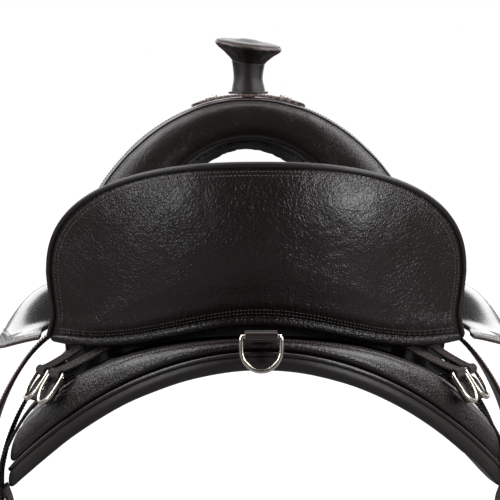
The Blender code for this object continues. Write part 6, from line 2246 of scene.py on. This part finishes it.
def stirrup_tread(place, label):
    """The ribbed felt pad on the bow's base."""
    low = -STIRRUP_HEIGHT + 0.5 * STIRRUP_WALL + GAP
    half_x = 0.5 * STIRRUP_BASE_DEPTH - TREAD_MARGIN
    half_y = STIRRUP_BASE_HALF - STIRRUP_CORNER
    u, v = np.meshgrid(np.linspace(-1.0, 1.0, 70), np.linspace(-1.0, 1.0, 150), indexing="ij")
    inside = np.minimum((1.0 - np.abs(u)) * half_x, (1.0 - np.abs(v)) * half_y)
    thick = TREAD_THICKNESS * mix(0.4, 1.0, roll_off(inside, TREAD_EDGE)) - TREAD_RIB
    ribs = TREAD_RIB * np.cos(2.0 * np.pi * v * half_y / TREAD_RIB_PITCH) * smooth((inside - 0.003) / 0.002)
    top = np.stack([u * half_x, v * half_y, low + thick + ribs], axis=-1)
    bottom = np.stack([u * half_x, v * half_y, np.full_like(u, low)], axis=-1)
    parts = [closed_sheet(top + place, bottom + place)]
    name, node = f"stirrup_tread_{label}_felt", "stirrup_tread_" + label
    build(name, parts, FELT, body="stirrup_" + label, stands_for=[node], sharp=60.0)


def stirrup_bolt(place, label):
    outer = -STIRRUP_TOP_HALF - 0.5 * STIRRUP_WALL - HANG_GAP
    head = BOLT_RADIUS * 1.7
    half = np.array([
        (0.001, outer - BOLT_HEAD),
        (0.5 * head, outer - 0.96 * BOLT_HEAD),
        (0.85 * head, outer - 0.8 * BOLT_HEAD),
        (head, outer - 0.45 * BOLT_HEAD),
        (head, outer - 0.0003),
        (BOLT_RADIUS, outer),
    ])
    rings = revolved(np.concatenate([half, half[::-1] * np.array([1.0, -1.0])]), BOLT_SIDES)
    parts = [loft(rings[..., [0, 2, 1]] + place)]
    name, node = f"stirrup_bolt_{label}_steel", "stirrup_bolt_" + label
    build(name, parts, NICKEL, body="stirrup_" + label, stands_for=[node], sharp=35.0)


base_pad()
skirt()
cantle()
ground_seat()
foam_block("cantle_core_foam", "cantle_core", 0.0, CORE_SHARE, 70, 30)
foam_block("seat_foam_block", "seat_foam", CORE_SHARE + CORE_JOINT, 1.0, 70, 60)
seat_cushion()
seat_edge_piping()
pommel_roll()
arch_plate()
pommel_cover()
gullet_lining()
horn_neck()
horn_cap()
horn_foot()
horn_collar()
centre_ring()
for sign, label in SIDES:
    panel(sign, "panel_" + label)
    rosette(sign, "rosette_" + label)
    jockey(sign, "jockey_" + label)
    side_rings(sign, label)
    front_ring(sign, label)
    rigging(sign, label)
    stirrup_ring(sign, label)
    stirrup_leather(label)
    fender(sign, label)
    hobble(label)
    buckle(sign, label)
    stirrup_place = np.array([sign * STIRRUP_X, RING_Y, BOLT_Z])
    stirrup_bow(stirrup_place, label)
    stirrup_tread(stirrup_place, label)
    stirrup_bolt(stirrup_place, label)
all_stitches()

frame["nodes"]["horn_core"].data.materials.clear()
frame["nodes"]["horn_core"].data.materials.append(NICKEL)
